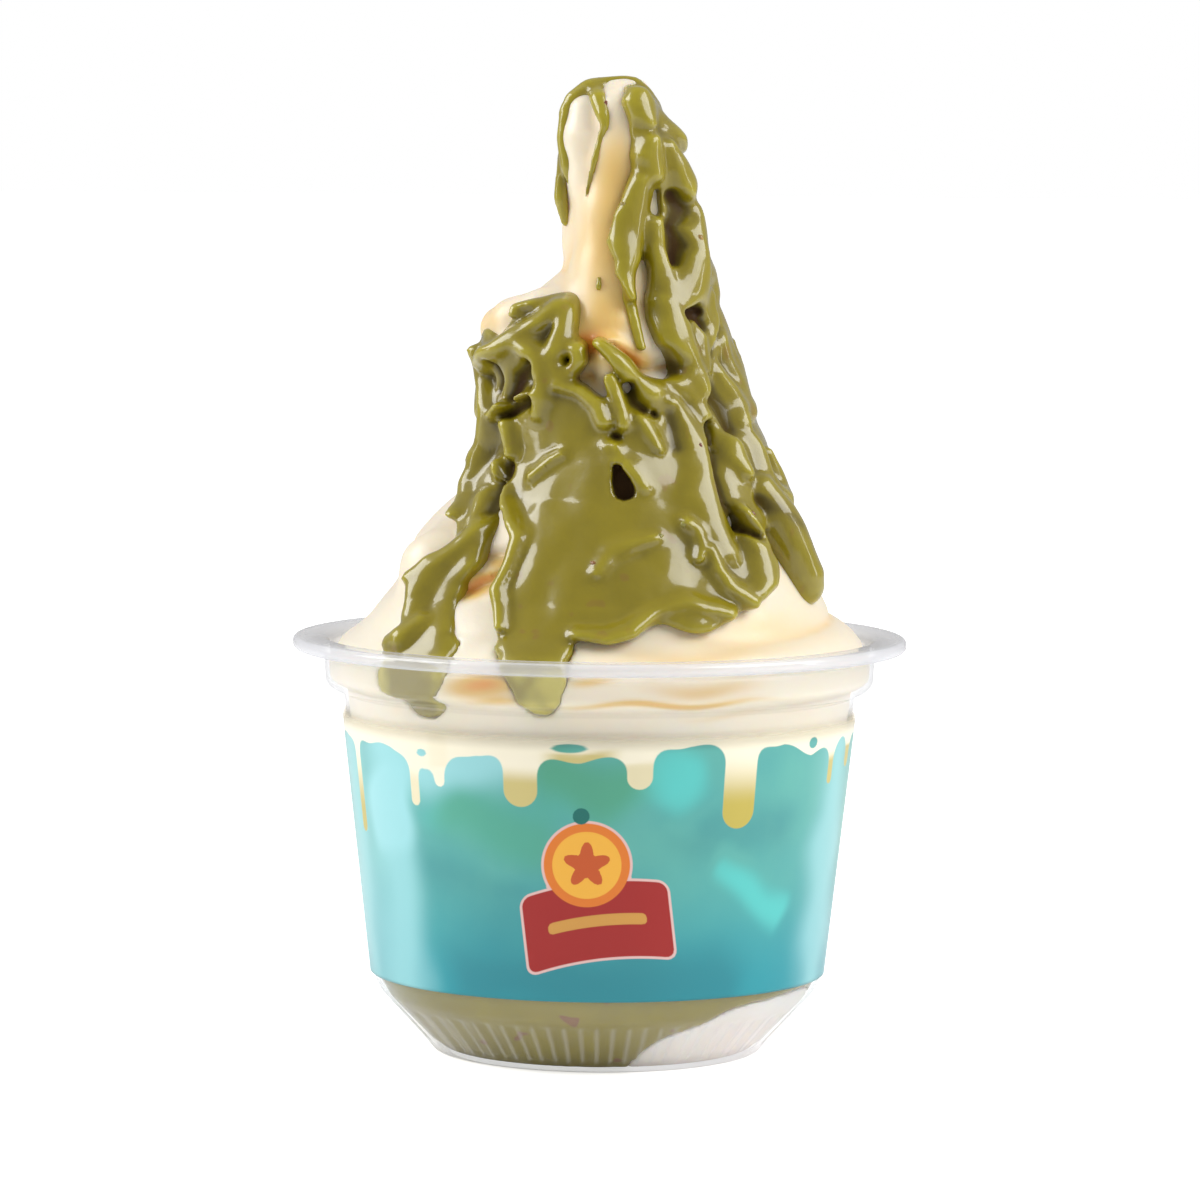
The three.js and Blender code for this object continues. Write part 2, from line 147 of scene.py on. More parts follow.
# Narrow ridges that stand up from the runs, as (x, z, half width) along each, then their depth.
RIDGES = {
    "column_1": ([(5.6, 139.5, 1.1), (5, 137.2, 1.4), (4.4, 134, 1.7), (4.3, 130.1, 1.8),
        (4.4, 127.3, 1.5), (4, 125.1, 1), (4.1, 123, 0.7), (4.5, 121.2, 0.5)], 3.2),
    "column_2": ([(7.7, 132.9, 1.1), (8, 128.9, 1.3), (9.1, 125.1, 1.6), (10, 120.8, 2.2),
        (10.9, 116.2, 2.1), (11.6, 112.8, 1.7)], 3),
    "column_3": ([(4.8, 153.6, 1), (5.3, 151.8, 1.7), (5.9, 149.8, 1.6), (6.4, 148.4, 1.1)], 3),
    "column_7": ([(6.9, 146, 1.2), (6.7, 143.4, 1.8), (7.2, 140.4, 1.5)], 3.3),
    "column_4": ([(6.4, 152.3, 1.3), (8.2, 150.2, 1.4), (10, 148.2, 1.6), (11.9, 146.2, 1.4),
        (12.6, 144.6, 1)], 2.2),
    "column_5": ([(9.6, 144.8, 1.4), (10.8, 141.8, 2.1), (11.7, 139.4, 2.2), (11.4, 137.9, 1.7)], 3),
    "column_6": ([(13.4, 134.8, 1.3), (13.6, 132, 1.7), (13.7, 129, 2), (13.8, 126.1, 2.4),
        (13.2, 123, 2.8), (12.4, 120.7, 2.4)], 2.6),
    "band": ([(9.1, 120.8, 1.4), (10.2, 117.4, 2.1), (11.7, 113.9, 2.4), (13.6, 110.3, 2.5),
        (15.3, 107.3, 1.9)], 3.3),
    "outer_1": ([(16.4, 121.4, 1.1), (17.2, 117.4, 1.1), (17.2, 113.6, 1.1), (16.8, 111, 1)], 2.1),
    "outer_2": ([(14.9, 116.8, 0.8), (15.4, 113.7, 1.1), (16.3, 110.1, 1.3)], 2.4),
    "outer_3": ([(18.4, 109.4, 1.1), (20, 106.8, 1.6), (21.4, 104.2, 1.7), (22, 101.8, 1.3)], 2.3),
    "outer_4": ([(20.4, 98.6, 1.3), (20.8, 96.5, 1.7), (22, 94.2, 1.3)], 3),
    "outer_5": ([(23.4, 99, 1.3), (24.6, 96.8, 1.4), (25.6, 94, 1.3), (27.2, 91.5, 1.3),
        (29.4, 89.3, 1.3)], 2.4),
    "mid_1": ([(10.7, 104.8, 1.4), (13.1, 101.6, 2.1), (14.5, 98.4, 2.6), (15.1, 94.7, 2.8),
        (15.2, 91, 3), (16.4, 86.9, 2.6), (18.1, 82.8, 2.4)], 3.1),
    "mid_2": ([(5.7, 103.1, 1.1), (7.1, 100.6, 1.3), (8.7, 97.9, 0.8)], 3.3),
    "mid_3": ([(2, 99.4, 0.5), (3.3, 97, 0.8), (5.1, 94.9, 1), (6.7, 92.2, 0.8)], 3.2),
    "mid_4": ([(1.1, 108.9, 0.8), (2, 106.8, 1), (3, 104.3, 1), (3.4, 101.7, 0.8)], 3.3),
    "mid_5": ([(-0.3, 114.3, 0.8), (1.2, 112.9, 1), (3, 110.8, 1.3), (4.8, 108.5, 1.4),
        (7.3, 106.6, 1.6)], 3.2),
    "mid_6": ([(12.3, 107.7, 1.4), (14.5, 105.3, 1.4), (16.1, 102.5, 1.3)], 2.8),
    "lobe": ([(20.8, 88.2, 1.4), (22.5, 84.7, 2.2), (23.5, 81, 2.4), (24, 78, 1.9), (23, 76.3, 1.3)], 3.5),
    "comma_1": ([(-0.4, 79.6, 1.2), (1.7, 82.6, 1.6), (4.8, 83.8, 1.6), (8, 84.8, 1.2)], 3),
    "comma_2": ([(12.5, 87.1, 1), (14, 85.8, 1.1), (14.6, 83.6, 1.1), (14.2, 81.4, 0.8)], 3.6),
    "foot_edge": ([(15.6, 83.2, 0.8), (16.8, 79.9, 1.1), (18.9, 77.1, 1.3), (22, 74.9, 1.4)], 3.5),
    "shoulder_1": ([(-5.5, 120.3, 1.1), (-8.3, 117.7, 1.4), (-11.4, 115.4, 1.7), (-14.6, 113, 1.7),
        (-17.6, 110.2, 1.7)], 3.4),
    "shoulder_2": ([(-8.6, 120.1, 0.9), (-10.2, 119.6, 1), (-11, 118.2, 0.7)], 2.8),
    "shoulder_3": ([(-18.7, 111.8, 1.3), (-18.6, 108.7, 1.8), (-17.9, 105.7, 1.8), (-17, 102.7, 1.6),
        (-17.2, 98.8, 1.7), (-18.5, 95.7, 1.4)], 3.2),
    "shoulder_4": ([(-5.2, 119, 1), (-5.5, 116.6, 1.1), (-6.1, 114.4, 1.4), (-7.3, 111.6, 1.3),
        (-6.4, 108.9, 1)], 3),
    "shoulder_5": ([(-11.1, 113.9, 1.4), (-9.5, 111.6, 1.4), (-8.6, 108.5, 1.4), (-8.7, 105.4, 1.6),
        (-9.2, 103.1, 1.3)], 3.2),
    "shoulder_6": ([(-4, 113.5, 1.1), (-3.4, 111.4, 1.1), (-4.8, 109.5, 1)], 2.8),
    "cross": ([(-15.8, 102.5, 0.8), (-13.9, 104.5, 0.8), (-11.7, 105.5, 0.8), (-9.7, 106, 0.8)], 3.6),
    "flap": ([(1, 98.4, 0.6), (1.8, 96.6, 0.9), (3.2, 95.4, 1), (4.6, 93.4, 0.6)], 2.6),
    "left_1": ([(-14.7, 102.4, 1), (-13.9, 99.7, 1.3), (-13.7, 96.8, 1.3)], 3.1),
    "left_2": ([(-6.1, 107.8, 1), (-3, 106.8, 1.1), (-0.5, 104.8, 1.1), (0.6, 102.2, 1)], 3.2),
    "left_3": ([(-5.6, 97.1, 0.8), (-7.9, 95.7, 1), (-10.4, 93.5, 1)], 3.1),
    "thread": ([(4.1, 121.3, 0.6), (5.2, 117.5, 0.5), (6.5, 113.5, 0.5)], 1),
    "sheet_edge": ([(-15.9, 94.9, 1), (-14.8, 90, 1.2), (-12.2, 84.6, 1.2), (-13.6, 81, 1.2),
        (-15.2, 76.7, 1.2), (-14.9, 71.2, 1)], 3.2),
    "sheet_foot": ([(-3.7, 70.6, 1.4), (1.2, 70.2, 1.6), (4.6, 71.2, 1.6), (8.1, 73.9, 1.5),
        (13, 75.2, 1.6), (18.9, 73.4, 1.6)], 3),
    "flow_1": ([(-17.9, 96.3, 1.4), (-20, 91.7, 1.4), (-21, 87.4, 1.3)], 2.9),
    "flow_2": ([(-17.6, 90, 1.2), (-18.6, 85.4, 1.4), (-22.6, 81.2, 1.5), (-26.2, 77.7, 1.3)], 2.9),
    "flow_3": ([(-23.9, 80, 1.4), (-26, 75.6, 1.6), (-27.6, 71.5, 1.4)], 2.9),
}
# Runs that wrap round the sides, as (degrees from the front, z, half width).
SIDE_RUNS = {
    "right_column": [(75, 147, 3.6), (72, 142, 5), (80, 136, 5.5), (72, 128, 6.5), (84, 120, 7)],
    "right_flank": [(70, 118, 6.5), (78, 108, 7.5), (80, 99, 8), (74, 91, 7), (68, 84, 5)],
    "right_behind": [(105, 121, 5), (104, 112, 6), (108, 103, 5.5), (112, 95, 4.5), (115, 88, 3.2)],
    "left_flank": [(-66, 112, 4.4), (-72, 106, 4.8), (-66, 101, 3.6)],
    "left_behind": [(-98, 110, 4.4), (-104, 104, 4.4), (-110, 98, 3.4)],
}
# Short thick runs that make the coat lumpy: how many, then their degrees, heights and half widths.
LUMPS = {
    "column": (6, (60, 118), (122, 144), (1.4, 2.2)),
    "right": (12, (64, 116), (84, 116), (1.6, 2.6)),
    "left": (4, (-116, -82), (103, 112), (1.3, 1.8)),
    "behind": (34, (118, 246), (82, 132), (1.5, 3)),
}
# Strands of sauce with a body of their own, as (x, y, z, radius).
STRANDS = {
    "right_tongue": [(25, -13.8, 91, 2.8), (27.6, -13.4, 86.6, 3.5), (30, -12.8, 81.6, 3.8),
        (31.6, -12.4, 77.6, 3.6), (32, -12.2, 75.8, 3.3)],
    "drip_a": [(-6, -3.6, 150.4, 1), (-6.3, -4.2, 146, 1.2), (-5.7, -4.6, 141.4, 1.1),
        (-5, -4.6, 138.4, 0.5)],
    "drip_b": [(-6.5, -2.6, 143.2, 0.8), (-6.7, -3, 136.6, 1.2), (-6, -3.2, 132.6, 0.7)],
    "cap": [(-6.2, -2.6, 149.6, 1), (-5, -3, 152, 1.3), (-2.6, -2.8, 153.6, 1.5), (0.6, -1.8, 154.3, 1.4),
        (3.2, -1.4, 154.6, 1.3), (4.6, -1.6, 154.2, 1.6), (6, -1.8, 152.8, 1.7), (7.6, -1.6, 150.8, 1.5)],
    "left_foot": [(-27.6, -27.4, 70.6, 2), (-30.6, -27.6, 68.2, 2.4), (-32, -26, 67.4, 2)],
}
# Thin strands that lie on the front of the cream, as (x, z, radius).
LAID_STRANDS = {
    "tongue": [(-1.6, 154, 1.2), (-0.9, 152, 1.4), (-0.1, 149.6, 1.2), (0.3, 148, 0.8),
        (-0.4, 146.4, 0.6), (-1.4, 142.4, 0.6), (-2.3, 138.6, 0.5), (-2.7, 136.6, 0.3)],
    "fleck": [(-0.5, 124, 0.5), (-0.6, 122.7, 0.6)],
}
# Valleys in the sauce, as (x, z, half width) along each, then how deep they are.
GROOVES = {
    "column_shadow": ([(10.3, 137, 0.9), (11.2, 134.8, 1.4), (10.4, 132.2, 0.8), (11.2, 129.4, 1.1),
        (10.9, 126.8, 0.6)], 3),
    "under_lobe": ([(12.4, 118.6, 0.6), (14.3, 118.8, 1.1), (15.4, 116.8, 1)], 3),
    "long_groove": ([(16.8, 101.5, 0.8), (17.4, 97.6, 1), (17.6, 93.9, 0.8), (18.8, 89.6, 0.8),
        (20.8, 86.3, 1), (22.6, 84.4, 0.6)], 2),
    "outer_gap": ([(17.7, 106.4, 1.3), (19.3, 103.6, 1.6), (20.5, 100.8, 1.3)], 2),
    "outer_line": ([(17.2, 119.8, 0.5), (18, 116.6, 0.6), (17.3, 112.1, 0.6)], 1.6),
    "beside_tongue": ([(24.7, 89.7, 1.1), (26.4, 87.8, 1.3), (27.9, 85.8, 1)], 2),
    "mid_hollow": ([(10.4, 103.6, 1), (10.7, 100.9, 1.4), (11.3, 98.4, 1.1)], 0.7),
    "pit_1": ([(2.2, 99.9, 0.5), (2.6, 99.8, 0.5)], 1.8),
    "pit_2": ([(7.8, 103.4, 0.5), (8.1, 103.1, 0.5)], 1.8),
    "left_hollow": ([(-10.6, 110.6, 0.7), (-12.4, 108.4, 1.1), (-13.6, 105.4, 0.9)], 3),
    "left_notch": ([(-15.8, 110.6, 0.5), (-15.4, 108.4, 0.8), (-15.8, 106.4, 0.5)], 1.8),
    "left_gap": ([(-10.6, 105.4, 0.6), (-12.6, 103.9, 0.8), (-14.7, 102.4, 0.6)], 2),
    "fold": ([(4.2, 107.9, 0.6), (4.8, 105.2, 0.6), (6.4, 103.9, 0.6)], 1.6),
    "lump_shade": ([(9.8, 112.1, 1.3), (11.4, 110.5, 1.3)], 1.6),
    "left_shade": ([(-14.7, 94.5, 0.8), (-15.7, 91.1, 1), (-17.2, 87.7, 1)], 1.6),
}
# Pits that go down to a thin skin of sauce, which is painted with dark shade, in the same way.
PITS = {
    "teardrop": ([(2.6, 95.2, 0.6), (3.2, 93.1, 1.3), (3.7, 91.6, 1.5)], 4),
    "dark_place": ([(12.5, 118.3, 0.7), (13.8, 118.5, 0.9), (14.9, 118.8, 0.6)], 4),
}
# Windows that show the cream.
WINDOWS = {
    "cream_window": [(8.3, 137.6, 0.6), (8.3, 134.6, 0.8)],
}
SAUCE_FLOOR = 0.4  # the sauce left at the bottom of a valley
SKIN = 0.2  # and of a pit
LUMP_DEPTH = (1.5, 2.3)
LUMP_END = 1.12  # a lump ends a little outside the runs, as a share of their half width
NO_END = 9
RUN_SQUARE = 3.0  # how square the cross section of a run is: 2 is round
RIDGE_SQUARE = 2.2
RUN_BLEND = 1.4  # fillets between the pieces of sauce
RIDGE_BLEND = 1.0
STRAND_BLEND = 0.8
LOWEST_SAUCE = 54
UNDER_CREAM = 1.6  # how far the sauce goes into the cream
UNDER_WALL = 2.4  # and in from the cup's wall
OUTSIDE_ALL = 3.0  # the field's value well away from the sauce
# Noise in the widths of the runs and on their surface, as (strength, size, seed).
WANDER = ((0.16, 6.0, 3), (0.07, 2.6, 4))
BUMPS = ((0.36, 5.0, 5), (0.11, 2.1, 6))


# ------------------------------------------------------------------ meshes from arrays
def add_mesh(name, points, quads, smooth=True, values=None):
    """A mesh object from points in millimetres and faces of four corners, with its vertex values."""
    mesh = bpy.data.meshes.new(name)
    mesh.vertices.add(len(points))
    mesh.vertices.foreach_set("co", (np.asarray(points, float) * MM).ravel())
    quads = np.asarray(quads, np.int32)
    mesh.loops.add(quads.size)
    mesh.loops.foreach_set("vertex_index", quads.ravel())
    mesh.polygons.add(len(quads))
    mesh.polygons.foreach_set("loop_start", np.arange(0, quads.size, quads.shape[1], dtype=np.int32))
    mesh.update(calc_edges=True)
    mesh.polygons.foreach_set("use_smooth", np.full(len(quads), smooth))
    for label, numbers in (values or {}).items():
        layer = mesh.attributes.new(label, "FLOAT", "POINT")
        layer.data.foreach_set("value", np.asarray(numbers, np.float32))
    piece = bpy.data.objects.new(name, mesh)
    bpy.context.scene.collection.objects.link(piece)
    return piece


def surface_net(field, origin, step):
    """Points and quads of the surface where the field is zero. The solid is where it is negative."""
    inside = field < 0
    count = np.zeros(tuple(n - 1 for n in field.shape), np.int8)
    corners = [(i, j, k) for i in (0, 1) for j in (0, 1) for k in (0, 1)]
    nx, ny, nz = count.shape
    for i, j, k in corners:
        count += inside[i:i + nx, j:j + ny, k:k + nz]
    cells = np.argwhere((count > 0) & (count < 8))
    number = np.full(count.shape, -1, np.int32)
    number[tuple(cells.T)] = np.arange(len(cells))
    total = np.zeros((len(cells), 3))
    crossings = np.zeros(len(cells))
    for a in corners:
        for axis in range(3):
            if a[axis]:
                continue
            b = tuple(v + (m == axis) for m, v in enumerate(a))
            at_a = field[tuple((cells + a).T)]
            at_b = field[tuple((cells + b).T)]
            crossed = (at_a < 0) != (at_b < 0)
            share = np.where(crossed, at_a / np.where(crossed, at_a - at_b, 1), 0)
            place = np.repeat(np.array(a, float)[None], len(cells), 0)
            place[:, axis] += share
            total += place * crossed[:, None]
            crossings += crossed
    points = origin + step * (cells + total / crossings[:, None])
    quads = []
    for axis in range(3):
        u, v = (axis + 1) % 3, (axis + 2) % 3
        low = np.take(inside, range(field.shape[axis] - 1), axis)
        high = np.take(inside, range(1, field.shape[axis]), axis)
        edges = np.argwhere(low != high)
        keep = (edges[:, u] > 0) & (edges[:, v] > 0)
        keep &= (edges[:, u] < field.shape[u] - 1) & (edges[:, v] < field.shape[v] - 1)
        edges = edges[keep]
        outward = low[tuple(edges.T)]
        around = []
        for du, dv in ((0, 0), (1, 0), (1, 1), (0, 1)):
            cell = edges.copy()
            cell[:, u] -= du
            cell[:, v] -= dv
            around.append(number[tuple(cell.T)])
        around = np.stack(around, 1)
        quads.append(np.where(outward[:, None], around, around[:, ::-1]))
    return points, np.concatenate(quads)


def relax(values, quads, rounds, share=0.5):
    """The values, which belong to the mesh's points, drawn towards their neighbours' mean."""
    values = np.array(values, float)
    ends = np.concatenate([quads[:, [m, (m + 1) % 4]] for m in range(4)])
    near = np.bincount(ends[:, 0], minlength=len(values)) + np.bincount(ends[:, 1], minlength=len(values))
    for _ in range(rounds):
        for c in range(values.shape[1]):
            column = values[:, c]
            total = np.bincount(ends[:, 0], column[ends[:, 1]], len(values))
            total += np.bincount(ends[:, 1], column[ends[:, 0]], len(values))
            values[:, c] = column + share * (total / np.maximum(near, 1) - column)
    return values


def normals_of(points, quads):
    cross = np.cross(points[quads[:, 2]] - points[quads[:, 0]], points[quads[:, 3]] - points[quads[:, 1]])
    total = np.stack([
        sum(np.bincount(quads[:, m], cross[:, c], len(points)) for m in range(4)) for c in range(3)
    ], 1)
    return total / np.maximum(np.linalg.norm(total, axis=1, keepdims=True), 1e-9)


def hollows(points, quads, reach):
    """How far each point lies below the mesh's surface smoothed over that reach: positive in creases."""
    even = relax(points, quads, round(2 * (reach / VOXEL) ** 2))
    return ((even - points) * normals_of(points, quads)).sum(1)


def lattice_noise(points, size, seed):
    """Smooth noise from -1 to 1, with lumps of about that size."""
    values = np.random.default_rng(seed).uniform(-1, 1, (32, 32, 32)).astype(np.float32)
    place = points / size
    cell = np.floor(place).astype(np.int32)
    part = place - cell
    part = part * part * (3 - 2 * part)
    total = 0
    for i in (0, 1):
        for j in (0, 1):
            for k in (0, 1):
                weight = (part[:, 0] if i else 1 - part[:, 0]) * (part[:, 1] if j else 1 - part[:, 1])
                weight = weight * (part[:, 2] if k else 1 - part[:, 2])
                at = (cell + (i, j, k)) & 31
                total = total + weight * values[at[:, 0], at[:, 1], at[:, 2]]
    return total


def noises(points, kinds):
    """Noise summed over kinds of (strength, size, seed)."""
    return sum(strength * lattice_noise(points, size, seed) for strength, size, seed in kinds)


def smooth_least(a, b, blend):
    """The smaller of two fields, with a fillet where they meet."""
    h = np.clip(0.5 + 0.5 * (b - a) / blend, 0, 1)
    return b + (a - b) * h - blend * h * (1 - h)


def smoothstep(low, high, value):
    t = np.clip((value - low) / (high - low), 0, 1)
    return t * t * (3 - 2 * t)


def rounded(corners, radius, steps=5):
    """A line of (r, z) corners with each corner rounded."""
    corners = np.array(corners, float)
    line = [corners[0]]
    for before, here, after in zip(corners, corners[1:], corners[2:]):
        into, out = here - before, after - here
        cut = min(radius, 0.45 * np.linalg.norm(into), 0.45 * np.linalg.norm(out))
        start = here - into / np.linalg.norm(into) * cut
        end = here + out / np.linalg.norm(out) * cut
        for t in np.linspace(0, 1, steps):
            line.append((1 - t) ** 2 * start + 2 * t * (1 - t) * here + t * t * end)
    line.append(corners[-1])
    return np.array(line)


# ------------------------------------------------------------------ the forms of the food
OUTSIDE = [
    (FOOT_R, 0), ((FOOT_R + FOOT_FILLET[0]) / 2 + 0.4, 0.4), FOOT_FILLET, CONE_TOP,
    ((CONE_TOP[0] + WALL_FOOT[0]) / 2 + 0.3, (CONE_TOP[1] + WALL_FOOT[1]) / 2 - 0.2), WALL_FOOT, WALL_TOP,
    (WALL_TOP[0] + 0.2, STEP[1] - 1.7), (STEP[0] - 0.8, STEP[1] - 0.9), STEP,
    (STEP[0] + 0.3, RIM_Z - RIM_THICK - 0.6), (STEP[0] + 0.8, RIM_Z - RIM_THICK),
    (RIM_R - 0.5, RIM_Z - RIM_THICK), (RIM_R, RIM_Z - RIM_THICK + 0.5), (RIM_R, RIM_Z - 0.5),
    (RIM_R - 0.5, RIM_Z), (STEP[0] + 0.6, RIM_Z),
]
INSIDE = [
    (STEP[0] - WALL + 0.4, RIM_Z - 0.9), (STEP[0] - WALL + 0.2, RIM_Z - RIM_THICK - 0.4),
    (STEP[0] - WALL, STEP[1] + 0.6), (STEP[0] - WALL - 0.9, STEP[1] - 0.1),
    (WALL_TOP[0] - WALL + 0.2, STEP[1] - 0.8), (WALL_TOP[0] - WALL, WALL_TOP[1] + 0.2),
    (WALL_FOOT[0] - WALL, WALL_FOOT[1] + 0.3), (CONE_TOP[0] - 0.5, CONE_TOP[1] + 0.5),
    (FOOT_FILLET[0] - 0.6, FOOT_FILLET[1] + 0.8), (FOOT_R - 0.2, WALL),
]


def inner_radius(z):
    line = np.array(INSIDE[::-1])
    return np.interp(z, line[:, 1], line[:, 0])


def tower_radius(z):
    return np.interp(z, TOWER[:, 0], TOWER[:, 2])


def tower_middle(z):
    return np.interp(z, TOWER[:, 0], TOWER[:, 1])


def cream_radius(angle, z, crease_share=1.0):
    turns = -COIL_RATE * np.log(1 - COIL_SHRINK * (np.maximum(z, COIL_START_Z - 20) - COIL_START_Z))
    turns = turns - angle / TAU
    across = 2 * (turns - np.floor(turns)) - 1
    crease = 1 - np.sqrt(1 - across * across * 0.98)
    rise = smoothstep(COIL_START_Z, COIL_START_Z + 5, z)
    depth = COIL_DEPTH * rise * (1 - 0.85 * smoothstep(*COIL_FADE, z))
    waves = np.sin(3 * angle + z / 9) + 0.6 * np.sin(5 * angle - z / 7)
    narrow = smoothstep(TIP_Z, TIP_Z - 8, z)
    lobes = 0
    for degrees, height, size, out in LOBES:
        turned = (angle - math.radians(degrees) + math.pi) % TAU - math.pi
        lobes = lobes + out * np.exp(-((turned * tower_radius(z)) ** 2 + (z - height) ** 2) / size ** 2)
    return tower_radius(z) + lobes - (depth * crease * crease_share + UNEVEN * rise * waves) * narrow


def sauce_level(angle, share):
    wave = np.sin(2 * angle + 0.8) + 0.5 * np.sin(3 * angle - 1.1)
    return BASE_SAUCE_Z + BASE_SAUCE_WAVE * share * wave - 1.5 * (1 - share)


def grid(low, high):
    """Coordinates of a block of voxels, ready to be combined, and the block's first corner."""
    axes = [np.arange(a, b, VOXEL, dtype=np.float32) for a, b in zip(low, high)]
    x, y, z = axes[0][:, None, None], axes[1][None, :, None], axes[2][None, None, :]
    return x, y, z, np.array([a[0] for a in axes])


def rolls(field, x, y, z, lobes, blend):
    """The field joined with rounded rolls: each is a line of (x, y, z, radius)."""
    for lobe in lobes:
        lobe = np.array(lobe, float)
        for start, end in zip(lobe, lobe[1:]):
            reach = max(start[3], end[3]) + 3
            low = np.minimum(start[:3], end[:3]) - reach
            high = np.maximum(start[:3], end[:3]) + reach
            cut = tuple(
                slice(*np.searchsorted(axis.ravel(), (a, b))) for axis, a, b in zip((x, y, z), low, high)
            )
            px, py, pz = x[cut[0]] - start[0], y[:, cut[1]] - start[1], z[:, :, cut[2]] - start[2]
            way = end[:3] - start[:3]
            t = np.clip((px * way[0] + py * way[1] + pz * way[2]) / (way @ way), 0, 1)
            away = np.sqrt((px - t * way[0]) ** 2 + (py - t * way[1]) ** 2 + (pz - t * way[2]) ** 2)
            away = away - (start[3] + (end[3] - start[3]) * t)
            field[cut] = smooth_least(field[cut], away.astype(np.float32), blend)
    return field


ROLL_BLEND = 1.6
# Rolls of cream that stand out of the swirl, as (x, y, z, radius).
CREAM_ROLLS = [
    [(-2.9, -3.5, 150, 2.8), (-3, -4.2, 146, 3.2), (-2.2, -4.6, 140, 3), (-0.8, -4.2, 132, 3.4)],
    [(2.2, -5.2, 150.5, 3.4), (1.9, -5.8, 143, 4), (1.2, -6.2, 134, 4.8), (1.2, -7.5, 124, 6),
        (1, -10.5, 116, 6.5)],
    [(-9, -8.5, 118.5, 4), (-13.6, -6.5, 116.6, 3.9), (-15.6, -2.5, 115.6, 3.8)],
    [(0.8, -17.5, 112.4, 3), (1.6, -18.3, 110.2, 2.8)],
    [(-26, -16, 73.5, 6), (-25.6, -14, 78.2, 5.6), (-23.4, -11.5, 81, 4.4)],
]
# Creases in the cream, as (x, z, half width) along each, then how deep they are.
CREAM_CREASES = [
    ([(-21.6, 75.6, 1.2), (-18.2, 77.2, 1.1), (-14.9, 79.6, 0.7)], 1.6),
    ([(1.8, 113.6, 0.9), (4, 111.6, 0.9), (6.2, 109.4, 0.9)], 1.2),
    ([(-5, 113.6, 1.2), (-2.4, 112.8, 1.3), (0.4, 113.6, 0.9)], 1.2),
]


def cream_field(x, y, z):
    """Distance-like fields of the cream: as it is, and with shallower creases under the sauce."""
    middle = tower_middle(z)
    out = np.sqrt((x - middle) ** 2 + y ** 2)
    angle = np.arctan2(x - middle, -y + 0 * z)
    fields = []
    for crease_share in (1.0, 0.1):
        radius = cream_radius(angle, z, crease_share)
        fields.append(((out - radius) * 0.85).astype(np.float32))
    full, shallow = (rolls(f, x, y, z, CREAM_ROLLS, ROLL_BLEND) for f in fields)
    for crease, depth in CREAM_CREASES:
        line = np.array(as_line(crease))
        spots = np.argwhere(np.abs(full) < 5)
        points = np.stack([axis.ravel()[spots[:, c]] for c, axis in enumerate((x, y, z))], 1)
        close = in_cube(points, line, 9)
        full[tuple(spots[close].T)] += depth * np.exp(-share_across(onto_tower(points[close]), line) ** 2)
    in_cup = np.sqrt(x ** 2 + y ** 2) - (inner_radius(z) + INTO_WALL)
    below = np.broadcast_to(z < RIM_Z - 1.5, full.shape)
    bottom = sauce_level(np.arctan2(x, -y), np.clip(np.sqrt(x * x + y * y) / 35, 0, 1)) + 0.1 - z
    full = np.where(below, np.maximum(in_cup, np.where(z > TOWER[0, 0], full, -9)), full)
    full = np.maximum(full, bottom).astype(np.float32)
    return full, shallow


def on_cream(x, z, behind=False):
    """The point of the tower under the sauce that is seen at x and z, from the front or behind."""
    radius = tower_radius(z) - LINES_IN
    share = min(1, max(-1, (x - tower_middle(z)) / (radius + 1.4)))
    y = radius * math.sqrt(1 - share * share)
    return np.array((tower_middle(z) + share * radius, y if behind else -y, z))


def back_runs():
    """Runs of sauce behind, as in front, drawn from the seed."""
    state = SEED

    def draw():
        nonlocal state
        state = (state * 1664525 + 1013904223) % 4294967296
        return state / 4294967296

    runs = []
    for i in range(BACK_RUNS):
        side = -1 + 2 * (i + 0.5) / BACK_RUNS
        top = 132 - 26 * abs(side) + 10 * draw()
        bottom = 72 + 14 * draw()
        width = 5.5 + 2.5 * draw()
        run = []
        for k in range(5):
            z = top + (bottom - top) * k / 4
            spread = side * (0.55 + 0.3 * draw())
            run.append((tower_middle(z) + spread * tower_radius(z), z, width * (1 - 0.08 * k)))
        runs.append(run)
    return runs


def onto_tower(points):
    """The points moved level to the tower's surface, where the widths of the runs are measured."""
    x, y, z = points.T
    middle = tower_middle(z)
    out = np.maximum(np.hypot(x - middle, y), 1)
    share = (tower_radius(z) - LINES_IN) / out
    return np.stack([middle + (x - middle) * share, y * share, z], 1).astype(np.float32)


def share_across(points, line):
    """For each point, its distance from the nearest stretch of the line over the half width there."""
    least = np.full(len(points), 9.0, np.float32)
    for start, end in zip(line, line[1:]):
        way = end[:3] - start[:3]
        rel = points - start[:3]
        t = np.clip(rel @ way / max(way @ way, 1e-6), 0, 1)
        away = np.linalg.norm(rel - t[:, None] * way, axis=1)
        least = np.minimum(least, away / (start[3] + (end[3] - start[3]) * t))
    return least


def bead(above, across, depth, half_width, power):
    """Distance-like field of sauce with a rounded edge, from the height above the cream."""
    a = np.maximum(above, 0) / depth
    size = np.maximum((a ** power + across ** power) ** (1 / power), 1e-3)
    steepness = power - 1
    up = (a / size) ** steepness / depth
    aside = (across / size) ** steepness / half_width
    return (size - 1) / np.maximum(np.sqrt(up ** 2 + aside ** 2), 1 / (2 * half_width))


def as_line(run, behind=False):
    return [np.array((*on_cream(x, z, behind), w)) for x, z, w in run]


def round_the_side(run):
    line = []
    for degrees, z, width in run:
        angle, radius = math.radians(degrees), tower_radius(z) - LINES_IN
        x = tower_middle(z) + radius * math.sin(angle)
        line.append(np.array((x, -radius * math.cos(angle), z, width)))
    return line


